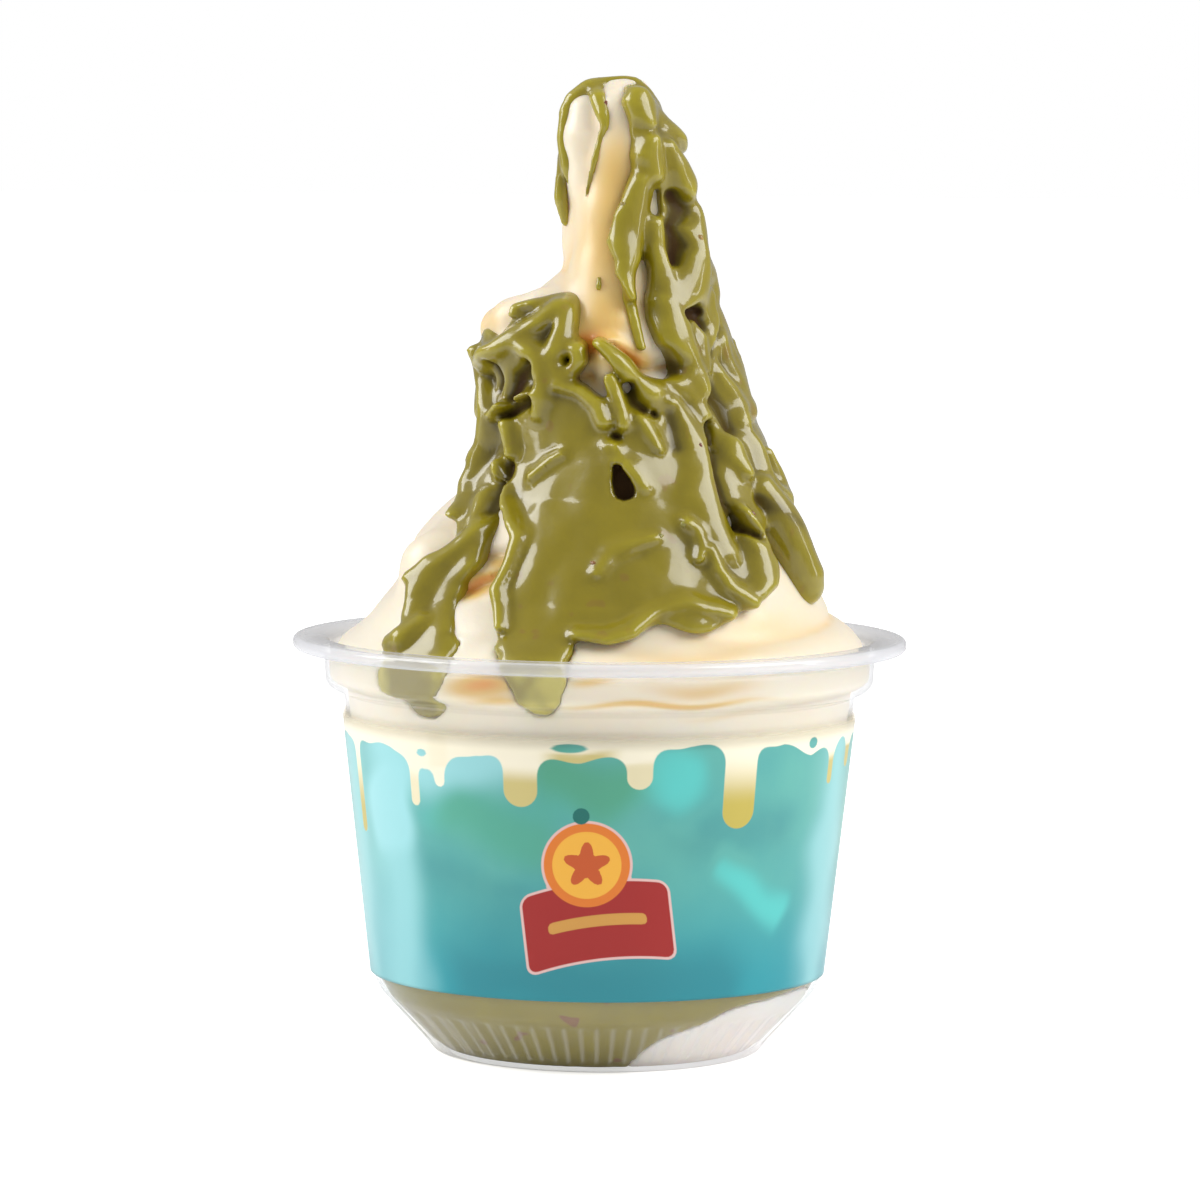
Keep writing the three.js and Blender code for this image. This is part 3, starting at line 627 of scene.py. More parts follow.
def lumpy_runs(random):
    """Short runs that start high, wander a little to the side and end in a thick round lobe."""
    for count, turns, heights, widths in LUMPS.values():
        for _ in range(count):
            degrees, z = random.uniform(*turns), random.uniform(*heights)
            width = random.uniform(*widths)
            drop = width * random.uniform(1.6, 3.6)
            lean = random.normal(0, 4, 3)
            steps = zip(np.cumsum(lean), (0, 1, 2), (0.55, 0.9, 1.15))
            run = [(degrees + turn, max(z - k * drop, 68), width * size) for turn, k, size in steps]
            yield np.array(round_the_side(run)), random.uniform(*LUMP_DEPTH)


def front_of(field, axes, x, z):
    """The y of the first solid place that is met from the front."""
    column = field[np.searchsorted(axes[0], x), :, np.searchsorted(axes[2], z)]
    return axes[1][np.argmax(column < 0)]


def covering_runs():
    """Each run that covers the tower, as an array of (x, y, z, half width), and its depth."""
    for name, run in FRONT_RUNS.items():
        yield np.array(as_line(run)), SHEET_DEPTH if name in SHEETS else RUN_DEPTH
    for run in SIDE_RUNS.values():
        yield np.array(round_the_side(run)), SIDE_DEPTH
    for run in back_runs():
        yield np.array(as_line(run, True)), RUN_DEPTH


def raised_runs():
    """Each ridge and lump in the same way, and then where it ends across the runs, as a share."""
    for run, depth in RIDGES.values():
        yield np.array(as_line(run)) * (1, 1, 1, RIDGE_SPREAD), depth, NO_END
    for line, depth in lumpy_runs(np.random.default_rng(SEED)):
        yield line, depth, LUMP_END


def strand_lines(full, axes):
    """Each strand as an array of (x, y, z, radius)."""
    lines = [np.array(line) for line in STRANDS.values()]
    for line in LAID_STRANDS.values():
        lines.append(np.array([(x, front_of(full, axes, x, z) - 0.2, z, r) for x, z, r in line]))
    return lines


def in_box(points, line, reach):
    """Marks the points in the line's box, widened by that reach."""
    low, high = line[:, :3].min(0) - reach, line[:, :3].max(0) + reach
    return np.all((points > low) & (points < high), axis=1)


def in_cube(points, line, reach):
    """Marks the points in a cube round the line's middle."""
    return np.all(np.abs(points - line[:, :3].mean(0)) < reach, axis=1)


def laid_sauce(level, above, wander):
    """The field of the runs and ridges, and how far across a run each point is, as a share."""
    sauce = np.full(len(level), OUTSIDE_ALL, np.float32)
    cover = np.full(len(level), 9, np.float32)
    for line, depth in covering_runs():
        pick = in_box(level, line, line[:, 3].max() * 1.3 + 3)
        across = share_across(level[pick], line) * (1 + wander[pick])
        cover[pick] = np.minimum(cover[pick], across)
        run = bead(above[pick], across, depth, line[:, 3].mean(), RUN_SQUARE)
        sauce[pick] = smooth_least(sauce[pick], run, RUN_BLEND)
    for line, depth, end in raised_runs():
        pick = in_box(level, line, 5)
        across = share_across(level[pick], line) * (1 + wander[pick])
        ridge = bead(above[pick], across, depth, line[:, 3].mean(), RIDGE_SQUARE)
        ridge = np.maximum(ridge, (cover[pick] - end) * 3)
        sauce[pick] = smooth_least(sauce[pick], ridge, RIDGE_BLEND)
    return sauce, cover


def carve(sauce, cover, level, above):
    """Cuts the valleys, the pits and the windows into the field."""
    for groove, depth in GROOVES.values():
        line = np.array(as_line(groove))
        pick = in_cube(level, line, 16)
        sauce[pick] += depth * np.exp(-share_across(level[pick], line) ** 2)
    covered = cover < 0.9
    sauce[covered] = np.minimum(sauce[covered], above[covered] - SAUCE_FLOOR)
    holes = [(pit, SKIN) for pit, _ in PITS.values()] + [(window, -99) for window in WINDOWS.values()]
    for hole, left in holes:
        line = np.array(as_line(hole))
        pick = in_cube(level, line, 8)
        across = share_across(level[pick], line)
        cut = np.maximum(sauce[pick], (1 - across) * line[:, 3].mean())
        sauce[pick] = np.where(across < 1.2, np.minimum(cut, above[pick] - left), cut)


def sauce_field(x, y, z, full, shallow):
    """The field of the sauce on the tower and inside the cup's wall."""
    axes = [axis.ravel() for axis in (x, y, z)]
    wall = np.sqrt(x * x + y * y) - inner_radius(z) - INTO_WALL
    strands = strand_lines(full, axes)
    near = (shallow > -2.2) & (shallow < 5.5) & (z > LOWEST_SAUCE)
    near |= (z < TOWER[0, 0]) & (z > LOWEST_SAUCE) & (wall > -3)
    for px, py, pz, r in np.concatenate(strands):
        near |= (np.abs(x - px) < r + 3) & (np.abs(y - py) < r + 3) & (np.abs(z - pz) < r + 4)
    spots = np.argwhere(near)
    points = np.stack([axes[c][spots[:, c]] for c in range(3)], 1).astype(np.float32)
    above, inner = shallow[near], wall[near]
    level = onto_tower(points)
    wander = noises(points, WANDER)
    sauce, cover = laid_sauce(level, above, wander)
    sauce += noises(points * np.array((1, 1, 0.55), np.float32), BUMPS)
    carve(sauce, cover, level, above)
    for line in strands:
        pick = in_cube(points, line, 16)
        strand = (share_across(points[pick], line) * (1 + 0.5 * wander[pick]) - 1) * line[:, 3].mean()
        sauce[pick] = smooth_least(sauce[pick], strand, STRAND_BLEND)
    floor = np.where(points[:, 2] < TOWER[0, 0], -UNDER_WALL - inner, -UNDER_CREAM - above)
    whole = np.full(shallow.shape, OUTSIDE_ALL, np.float32)
    whole[near] = np.maximum(np.maximum(sauce, floor), np.where(points[:, 2] < RIM_Z + 2, inner, -9))
    return whole


# ------------------------------------------------------------------ shader helpers
def colour(red, green, blue):
    """A linear colour from the 0 to 255 values seen on a screen."""
    values = [c / 255 for c in (red, green, blue)]
    return [v / 12.92 if v <= 0.04045 else ((v + 0.055) / 1.055) ** 2.4 for v in values] + [1]


class Nodes:
    """Adds shader nodes to a tree and joins them."""

    def __init__(self, tree):
        self.tree = tree

    def add(self, kind, **inputs):
        settings = {k: inputs.pop(k) for k in list(inputs) if k.startswith("set_")}
        node = self.tree.nodes.new(kind)
        for key, value in settings.items():
            setattr(node, key[4:], value)
        for key, value in inputs.items():
            self.join(value, node.inputs[key.replace("_", " ")])
        return node

    def join(self, value, socket):
        if isinstance(value, bpy.types.NodeSocket):
            self.tree.links.new(value, socket)
        else:
            socket.default_value = value

    def maths(self, kind, *values, clamp=False):
        node = self.tree.nodes.new("ShaderNodeMath")
        node.operation = kind
        node.use_clamp = clamp
        for value, socket in zip(values, node.inputs):
            self.join(value, socket)
        return node.outputs[0]

    def mix(self, share, first, second):
        node = self.tree.nodes.new("ShaderNodeMix")
        node.data_type = "RGBA"
        self.join(share, node.inputs[0])
        self.join(first, node.inputs[6])
        self.join(second, node.inputs[7])
        return node.outputs[2]

    def value(self, label):
        return self.add("ShaderNodeAttribute", set_attribute_name=label).outputs["Fac"]

    def place(self):
        return self.add("ShaderNodeTexCoord").outputs["Object"]

    def ramp(self, value, low, high):
        node = self.add("ShaderNodeMapRange", set_interpolation_type="SMOOTHSTEP", Value=value,
                        From_Min=low, From_Max=high)
        return node.outputs[0]

    def noise(self, scale, detail):
        node = self.add("ShaderNodeTexNoise", Vector=self.place(), Scale=scale, Detail=detail)
        return node.outputs["Fac"]

    def layers(self, tint, *coats):
        """The colour under coats of (mask, where it begins, where it is full, colour)."""
        for mask, low, high, paint in coats:
            tint = self.mix(self.ramp(mask, low, high), tint, paint)
        return tint


def group(name, inputs, outputs, fill):
    """A shader node group: inputs and outputs are (name, kind), and fill joins what is inside."""
    tree = bpy.data.node_groups.new(name, "ShaderNodeTree")
    for label, kind, start in inputs:
        socket = tree.interface.new_socket(name=label, in_out="INPUT", socket_type=kind)
        socket.default_value = start
    for label, kind in outputs:
        tree.interface.new_socket(name=label, in_out="OUTPUT", socket_type=kind)
    nodes = Nodes(tree)
    given = tree.nodes.new("NodeGroupInput").outputs
    made = tree.nodes.new("NodeGroupOutput").inputs
    for label, result in fill(nodes, given).items():
        tree.links.new(result, made[label])
    return tree


def mottle_fill(nodes, given):
    large = nodes.noise(given["Patches per metre"], 4)
    share = nodes.maths("MULTIPLY", nodes.ramp(large, 0.3, 0.7), given["Strength"])
    return {"Colour": nodes.mix(share, given["Main"], given["Patch"])}


def relief_fill(nodes, given):
    fine = nodes.noise(given["Grains per metre"], 3)
    return {"Height": nodes.maths("MULTIPLY", fine, given["Height in metres"])}


MOTTLE = group(
    "Uneven colour",
    [("Main", "NodeSocketColor", (1, 1, 1, 1)), ("Patch", "NodeSocketColor", (1, 1, 1, 1)),
     ("Patches per metre", "NodeSocketFloat", 100.0), ("Strength", "NodeSocketFloat", 0.5)],
    [("Colour", "NodeSocketColor")],
    mottle_fill,
)
RELIEF = group(
    "Fine relief",
    [("Grains per metre", "NodeSocketFloat", 1000.0), ("Height in metres", "NodeSocketFloat", 0.0001)],
    [("Height", "NodeSocketFloat")],
    relief_fill,
)


def use_group(nodes, tree, **values):
    node = nodes.tree.nodes.new("ShaderNodeGroup")
    node.node_tree = tree
    for label, value in values.items():
        nodes.join(value, node.inputs[label.replace("_", " ")])
    return node.outputs[0]


def new_material(name):
    material = bpy.data.materials.new(name)
    material.use_nodes = True
    material.node_tree.nodes.clear()
    nodes = Nodes(material.node_tree)
    output = nodes.add("ShaderNodeOutputMaterial")
    return material, nodes, output


def relief_normal(nodes, grains, height):
    raised = use_group(nodes, RELIEF, Grains_per_metre=grains, Height_in_metres=height)
    return nodes.add("ShaderNodeBump", Height=raised, Distance=1.0).outputs["Normal"]


def uneven(nodes, main, patch, patches, strength):
    return use_group(nodes, MOTTLE, Main=main, Patch=patch, Patches_per_metre=patches, Strength=strength)


def skin(nodes, output, tint, relief, **finish):
    """The surface of a material: its relief is (grains per metre, height in metres)."""
    surface = nodes.add("ShaderNodeBsdfPrincipled", Base_Color=tint, Normal=relief_normal(nodes, *relief),
                        **finish)
    nodes.join(surface.outputs[0], output.inputs[0])


# ------------------------------------------------------------------ materials
SHADE_ABOVE_HEIGHTS = (0.066, 0.076)  # heights in metres over which the cream above the cup is painted darker than the cream in the cup: painted shade
BADGE_COLOURS = {
    "badge_line": (226, 186, 180), "badge_plaque": (160, 30, 26), "badge_bar": (206, 150, 70),
    "badge_ring": (222, 120, 36), "badge_disc": (240, 178, 62), "badge_star": (196, 84, 30),
    "badge_dot": (12, 106, 98),
}


def cream_material(name, main, patch):
    material, nodes, output = new_material(name)
    height = nodes.add("ShaderNodeSeparateXYZ", Vector=nodes.place()).outputs["Z"]
    shade_above_cup = nodes.maths("MULTIPLY", nodes.ramp(height, *SHADE_ABOVE_HEIGHTS), 0.6)
    hollow = nodes.value("hollow")
    warm_shade = nodes.value("warm_shade")
    tint = nodes.layers(
        # painted shade: the cream above the cup is darker
        nodes.mix(shade_above_cup, uneven(nodes, main, patch, 60.0, 0.6), colour(228, 214, 190)),
        # painted shade in the creases
        (hollow, 0.0, 0.5, colour(240, 206, 148)),
        (hollow, 0.4, 1.4, colour(226, 158, 80)),
        # painted warm shade
        (warm_shade, 0.0, 1.0, colour(228, 192, 116)),
        (warm_shade, 0.8, 2.0, colour(226, 142, 48)),
    )
    skin(nodes, output, tint, (900.0, 0.00003), Roughness=0.38, Subsurface_Weight=0.35,
         Subsurface_Radius=(1.0, 0.6, 0.25), Subsurface_Scale=0.004, Coat_Weight=0.15, Coat_Roughness=0.2)
    return material


def sauce_material(name, main, patch, hollow, deepest_shade, edge, specks):
    material, nodes, output = new_material(name)
    even = uneven(nodes, main, patch, 140.0, 0.5)
    speck = nodes.maths("MULTIPLY", nodes.ramp(nodes.noise(260.0, 1.0), 0.68, 0.73), specks)
    even = nodes.mix(speck, even, colour(128, 74, 46))
    # Sauce pressed on the wall is painted lighter, with painted highlights in patches.
    pressed_lit = nodes.layers(colour(140, 126, 34), (nodes.noise(110.0, 2.0), 0.4, 0.62, colour(206, 194, 86)))
    even = nodes.mix(nodes.maths("MULTIPLY", nodes.value("pressed"), 0.8), even, pressed_lit)
    # Painted shade: the sauce is painted darker in its creases, to the hollow colour and then the deepest.
    depth = nodes.value("hollow")
    tint = nodes.layers(even, (depth, 0.05, 0.65, hollow), (depth, 0.6, 1.3, deepest_shade))
    # Painted light: the convex ridges are painted lighter and yellower, as a glow of light through thin
    # sauce.
    thin = nodes.maths("MULTIPLY", nodes.ramp(depth, -0.05, -0.8), 0.75)
    dull = nodes.ramp(depth, 0.2, 0.9)
    skin(nodes, output, nodes.mix(thin, tint, edge), (700.0, 0.00005),
         Roughness=nodes.maths("MULTIPLY_ADD", dull, 0.6, 0.36),
         Coat_Weight=nodes.maths("MULTIPLY_ADD", dull, -0.85, 0.9), Coat_Roughness=0.1, IOR=1.36,
         Subsurface_Weight=0.12, Subsurface_Radius=(1.0, 0.8, 0.3), Subsurface_Scale=0.0015)
    return material


def nut_material():
    material, nodes, output = new_material("chopped nut")
    tone = nodes.value("tone")
    tint = nodes.layers(colour(120, 62, 38), (tone, 0.3, 0.5, colour(176, 140, 62)),
                        (tone, 0.7, 0.85, colour(150, 150, 60)))
    skin(nodes, output, uneven(nodes, tint, colour(110, 70, 40), 1200.0, 0.5), (3000.0, 0.00006),
         Roughness=0.4, Coat_Weight=0.5)
    return material


def plastic_material():
    material, nodes, output = new_material("clear cup plastic")
    edge_on = nodes.add("ShaderNodeLayerWeight", Blend=0.5).outputs["Facing"]
    through = nodes.mix(nodes.maths("POWER", edge_on, 3.0), (0.985, 0.988, 0.99, 1), (0.92, 0.925, 0.94, 1))
    clear = nodes.add("ShaderNodeBsdfTransparent", Color=through)
    haze = nodes.add("ShaderNodeBsdfDiffuse", Color=(0.8, 0.8, 0.84, 1))
    # The haze is the rim's milkiness together with the painted glints along the flutes.
    frosted = nodes.maths("ADD", nodes.value("haze_and_glints"), 0.02)
    body = nodes.add("ShaderNodeMixShader",
                     Fac=nodes.maths("MULTIPLY_ADD", nodes.maths("POWER", edge_on, 3.5), 0.12, frosted))
    gloss = nodes.add("ShaderNodeBsdfGlossy", Color=(1, 1, 1, 1), Roughness=0.07,
                      Normal=relief_normal(nodes, 60.0, 0.00008))
    mirror = nodes.maths("MULTIPLY_ADD", nodes.maths("POWER", edge_on, 4.0), 0.6, 0.05)
    surface = nodes.add("ShaderNodeMixShader", Fac=mirror)
    for shader, socket in ((clear, body.inputs[1]), (haze, body.inputs[2]), (body, surface.inputs[1]),
                           (gloss, surface.inputs[2]), (surface, output.inputs[0])):
        nodes.join(shader.outputs[0], socket)
    return material


def sleeve_material():
    material, nodes, output = new_material("printed sleeve")
    height = nodes.value("height")
    seen = nodes.value("seen_through")
    blue = nodes.layers(
        uneven(nodes, colour(82, 164, 160), colour(96, 176, 164), 70.0, 0.8),
        (height, 0.6, 0.0, colour(42, 150, 162)),
        (seen, 0.0, 1.2, colour(88, 200, 194)),
        (seen, 0.0, -1.2, colour(32, 110, 122)),
        (nodes.value("green_places"), 0.0, 1.2, colour(78, 158, 124)),
        # painted highlight bands from the side lights
        (nodes.value("highlight_band"), 0.0, 1.1, colour(152, 212, 216)),
    )
    drip = nodes.mix(nodes.value("drip_tint"), colour(246, 238, 214), colour(192, 174, 80))
    tint = nodes.layers(
        blue,
        (nodes.value("print_edge"), -0.12, 0.12, drip),
        *((nodes.value(label), 0.1, -0.1, colour(*paint)) for label, paint in BADGE_COLOURS.items()),
    )
    skin(nodes, output, tint, (40.0, 0.0001), Roughness=0.3, IOR=1.36, Coat_Weight=0.2, Coat_Roughness=0.08,
         Alpha=nodes.ramp(height, 1.0, 0.92))
    return material


# ------------------------------------------------------------------ the pieces
def finish_piece(piece, material, slot, *nodes):
    piece.data.materials.append(material)
    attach(piece, "root")
    if nodes:
        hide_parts(*nodes)
    return piece


def make_cup(material):
    """The cup's shell, turned from its outline, with flutes round the foot."""
    outside = rounded([(0.05, 0), *OUTSIDE], 1.1)
    inside = rounded([*INSIDE, (0.05, WALL)], 1.1)
    profile = np.concatenate([outside, inside])
    z = profile[:, 1:]
    outer = np.arange(len(z))[:, None] < len(outside)
    segments = 8 * FLUTES
    here = np.arange(segments)
    angles = here * TAU / segments
    crest = 0.5 + 0.5 * np.cos(FLUTES * angles)
    fluted = outer * smoothstep(1.5, 2.4, z) * smoothstep(8.6, 7.4, z)
    radius = profile[:, :1] - FLUTE_DEPTH * fluted * (1 - crest)
    points = np.stack([radius * np.sin(angles), -radius * np.cos(angles), z + 0 * radius], 2).reshape(-1, 3)
    row, after = np.arange(len(profile) - 1)[:, None] * segments, (here + 1) % segments
    quads = np.stack([row + here, row + after, row + segments + after, row + segments + here], 2)
    # Painted glints: a thin line of milky haze along the flutes stands for their light streaks.
    flute_glints = FLUTE_GLINT * fluted * np.abs(np.cos(FLUTES * angles)) ** 12
    haze_and_glints = np.maximum(flute_glints, RIM_FROST * smoothstep(63.8, 64.6, z) + 0 * radius)
    piece = add_mesh("cup_shell", points, quads.reshape(-1, 4), values={"haze_and_glints": haze_and_glints.ravel()})
    return finish_piece(piece, material, "clear_plastic", "cup")


# The lower edge of the border of cream: degrees from the front, and height.
BORDER = [
    (-90, 51.6), (-53, 51.3), (-42, 48.8), (-28, 51.4), (-4, 50.8), (20, 53.2), (45, 52.5), (55, 50.4),
    (70, 52), (90, 51.6),
]
# Its drips: degrees from the front, half width, lowest height, how yellow it is at its end.
DRIPS = [
    (-70, 1, 36.5, 1), (-45.5, 0.9, 42.4, 0.3), (-37.8, 0.9, 45.8, 0.1), (-17.5, 2.6, 43.5, 0.8),
    (9.1, 1.9, 46.5, 0.4), (33.1, 2.8, 39.8, 1), (64.6, 0.8, 45.1, 0.9), (76, 1.2, 47, 1),
]
# Islands of the blue within the border: degrees, height, half width, half height.
ISLANDS = [(-42.7, 50.9, 1, 0.6), (-6.4, 52.9, 2.7, 0.7), (55.3, 52.2, 1.1, 0.9)]
# What shows faintly through the print: its ends as (distance round the front, z), its half width and
# how much lighter it is.
SEEN_THROUGH = [
    ((11.5, 50), (12.5, 45), 4.2, 0.9), ((20.5, 34.5), (31.5, 25.5), 2.6, 0.9),
    ((-24, 41), (-12, 38), 5.5, 0.45), ((-6, 45), (6, 46), 4, 0.4), ((-26, 33), (-14, 29), 6, -0.35),
    ((14, 39.5), (30, 38.5), 4.5, -0.4), ((-20, 16), (20, 15.5), 7, -0.55),
]
# Painted highlights: pale bands, mostly upright, where the side lights reflect on the sleeve, in the same
# measures.
HIGHLIGHT_BANDS = [
    ((-37, 52), (-36, 40), 5, 0.9), ((-36, 40), (-36.5, 14), 6.5, 0.8), ((-28, 50), (-16, 50), 5, 0.9),
    ((46, 50), (45, 14), 7, 0.7), ((-50, 50), (-50, 14), 7, 0.7),
]
GREEN_PLACES = [((-6, 48), (3, 46.5), 5, 0.9), ((-21, 41.5), (-10, 38), 5, 0.7)]
# The badge: middle (distance round the front, z) and sizes of its plaque and disc.
PLAQUE = (0.0, 25.4)
PLAQUE_HALF = (11.3, 6.0)
PLAQUE_TURN = math.radians(7)
BAR_HALF = (7.6, 0.9)
DISC = (-1.7, 34.6)
DISC_R = 6.6
DOT = (-2.6, 42.3)
DOT_R = 1.3


def rounded_box(u, v, half_u, half_v, corner):
    """Signed distance from a rounded rectangle."""
    du, dv = np.abs(u) - half_u + corner, np.abs(v) - half_v + corner
    return np.hypot(np.maximum(du, 0), np.maximum(dv, 0)) + np.minimum(np.maximum(du, dv), 0) - corner


def shine_through(around, z, spots):
    """The summed strength of soft spots, each a stretch from one end to the other."""
    total = np.zeros(len(z))
    for start, end, half, amount in spots:
        way = np.subtract(end, start)
        t = np.clip(((around - start[0]) * way[0] + (z - start[1]) * way[1]) / (way @ way), 0, 1)
        away = np.hypot(around - start[0] - t * way[0], z - start[1] - t * way[1])
        total += amount * smoothstep(half * 1.7, half * 0.1, away)
    return total


def border_print(angle, degrees, z, across):
    """How far each point is inside the border of cream, and how yellow it is there."""
    level = np.interp(degrees, *np.array(BORDER).T)
    edge = level + 0.25 * np.sin(angle * 31 + 1) - z
    tint = 0.8 * smoothstep(1.4, 0.4, np.abs(z - level - 0.3)) * smoothstep(10, 4, np.abs(degrees + 4))
    for centre, half, end, yellow in DRIPS:
        side = np.abs(degrees - centre) * across
        drop = np.hypot(side, np.maximum(end + half - z, 0)) - half
        edge = smooth_least(edge, drop, 2.8)
        near = smoothstep(half + 1.5, half, side)
        tint = np.maximum(tint, near * yellow * smoothstep(level - 1, end + 3.5, z))
    for centre, height, half, tall in ISLANDS:
        island = (np.hypot((degrees - centre) * across / half, (z - height) / tall) - 1) * tall
        edge = np.maximum(edge, -island)
    return {"print_edge": -edge, "drip_tint": tint}


def badge_print(across, z):
    """Signed distances from the parts of the badge, which is on the front alone."""
    u, v = across - PLAQUE[0], z - PLAQUE[1]
    cos, sin = math.cos(PLAQUE_TURN), math.sin(PLAQUE_TURN)
    u, v = u * cos + v * sin, v * cos - u * sin
    v = v + 0.012 * u * u - 0.5
    plaque = rounded_box(u, v, *PLAQUE_HALF, 1.4)
    du, dv = across - DISC[0], z - DISC[1]
    from_disc = np.hypot(du, dv)
    points_of_star = np.cos(5 * (np.arctan2(dv, du) - math.pi / 2))
    parts = {
        "badge_line": np.minimum(plaque, from_disc - DISC_R) - 0.4,
        "badge_plaque": plaque,
        "badge_bar": rounded_box(u, v, *BAR_HALF, 0.7),
        "badge_ring": from_disc - DISC_R,
        "badge_disc": from_disc - 0.8 * DISC_R,
        "badge_star": from_disc - DISC_R * (0.42 + 0.14 * points_of_star),
        "badge_dot": np.hypot(across - DOT[0], z - DOT[1]) - DOT_R,
    }
    return {label: np.where(np.abs(across) < 25, part, 20) for label, part in parts.items()}


def make_sleeve(material):
    """The printed sleeve, as a thin closed shell round the cup's wall."""
    columns, rows = SLEEVE_COLUMNS, SLEEVE_ROWS
    angles = np.arange(columns) * TAU / columns
    heights = np.linspace(SLEEVE_FOOT_Z, SLEEVE_TOP_Z, rows)
    wall = np.interp(heights, (WALL_FOOT[1], WALL_TOP[1]), (WALL_FOOT[0], WALL_TOP[0]))
    angle, z = (a.ravel() for a in np.meshgrid(angles, heights))
    mean = wall.mean()
    degrees = ((angle / TAU * 360 + 90) % 180) - 90
    place = np.stack([degrees * mean / 57.3, z, 0 * z], 1)
    bent = place[:, 0] + 1.8 * lattice_noise(place, 7.0, 8), z + 1.8 * lattice_noise(place, 7.0, 9)
    across = ((angle + math.pi) % TAU - math.pi) * np.interp(z, heights, wall)
    values = {
        **border_print(angle, degrees, z, mean * TAU / 360),
        "seen_through": shine_through(*bent, SEEN_THROUGH),
        "highlight_band": shine_through(*bent, HIGHLIGHT_BANDS),
        "green_places": shine_through(*bent, GREEN_PLACES),
        "height": (z - SLEEVE_FOOT_Z) / (SLEEVE_TOP_Z - SLEEVE_FOOT_Z),
        **badge_print(across, z),
    }
    inside = np.repeat(wall, columns) + SLEEVE_GAP
    shells = []
    for radius in (inside + SLEEVE_THICK, inside):
        shells.append(np.stack([radius * np.sin(angle), -radius * np.cos(angle), z], 1))
    here = np.arange(columns)
    after = (here + 1) % columns
    row = np.arange(rows - 1)[:, None] * columns
    outer = np.stack([row + here, row + after, row + columns + after, row + columns + here], 2)
    outer = outer.reshape(-1, 4)
    inner = outer[:, ::-1] + len(z)
    top = (rows - 1) * columns
    lip = np.stack([top + here, top + after, top + after + len(z), top + here + len(z)], 1)
    hem = np.stack([here + len(z), after + len(z), after, here], 1)
    piece = add_mesh("printed_sleeve", np.concatenate(shells), np.concatenate([outer, inner, lip, hem]),
                     values={k: np.tile(v, 2) for k, v in values.items()})
    return finish_piece(piece, material, "sleeve_print", "sleeve")


# Painted warm shade on the front of the cream: orange glow in the crevices, along the sauce and the wall,
# and the warmer shaded column, as (x, z, half width, half height, strength).
WARM_SHADE_PLACES = [
    (2, 141, 4.5, 8, 0.8), (1, 128, 6.5, 9, 0.85), (0.5, 117.5, 8, 4.5, 0.75), (-3, 114, 3.8, 2.2, 1.8),
    (2.6, 112.6, 1.8, 1.3, 1), (4.8, 110.8, 2.8, 1.8, 1.7), (-18, 116.5, 4, 4.5, 0.6),
    (-20.4, 76, 2.8, 1.3, 1.7), (-17.6, 77.5, 3, 1.1, 1.4), (-15.2, 79.6, 2.4, 0.9, 1),
    (-16, 84, 2.6, 5, 0.25), (24, 70, 14, 3.6, 0.5), (-18, 62.2, 5.4, 1.7, 1.6),
    (-15.6, 59.6, 4, 0.8, 0.7), (12, 66.5, 14, 1.5, 0.45), (10, 59.7, 15, 0.55, 1.2),
    (16, 62, 9, 1.4, 0.7), (-1.5, 63.6, 4, 0.8, 0.8), (20, 57.5, 8, 0.7, 0.4), (-1, 108.5, 4.5, 3.8, 0.5),
]


# The strength of the painted warm shade at each point, on the front alone.
def painted_warm_shade(points):
    total = np.zeros(len(points))
    bend = 0.5 * np.sin(points[:, 0] / 3.1)
    for x, z, wide, tall, strength in WARM_SHADE_PLACES:
        away = ((points[:, 0] - x) / wide) ** 2 + ((points[:, 2] - z - bend) / tall) ** 2
        total += strength * np.exp(-away)
    return total * smoothstep(2, -3, points[:, 1])


def from_field(name, field, origin, rounds, reach, tones=None):
    points, quads = surface_net(field, origin, VOXEL)
    points = relax(points, quads, rounds)
    deep = relax(hollows(points, quads, reach)[:, None], quads, 2)[:, 0]
    deep = deep * smoothstep(RIM_Z - 4, RIM_Z, points[:, 2])
    # hollow is how deep a point lies in a crease: the materials paint shade there, and light on the ridges
    # of the sauce.
    values = {"hollow": deep}
    for label, tone in (tones or {}).items():
        values[label] = tone(points)
    return add_mesh(name, points, quads, values=values)


def make_base(cream, sauce):
    x, y, z, origin = grid((-36.5, -36.5, 0), (36.8, 36.8, 22))
    out = np.sqrt(x * x + y * y)
    body = np.maximum(out - inner_radius(z) - INTO_WALL, WALL - 0.1 - z)
    body = np.maximum(body, z - sauce_level(np.arctan2(x, -y), np.clip(out / 35, 0, 1)))
    centre, radii = BASE_CREAM_CENTRE, BASE_CREAM_RADII
    dab = sum(((axis - c) / r) ** 2 for axis, c, r in zip((x, y, z), centre, radii))
    wave = 0.9 * np.sin(x / 3.1 + z / 2.3) + 0.6 * np.sin(x / 1.7 - y / 2.9)
    dab = (np.sqrt(dab) - 1) * radii[2] + 0.5 * wave
    layer = from_field("base_sauce_layer", np.maximum(body, -dab), origin, 1, 1.2)
    blob = from_field("base_cream_dab", np.maximum(body, dab - 0.05), origin, 1, 1.2)
    finish_piece(layer, sauce, "sauce", "base_sauce")
    finish_piece(blob, cream, "cream", "base_cream")


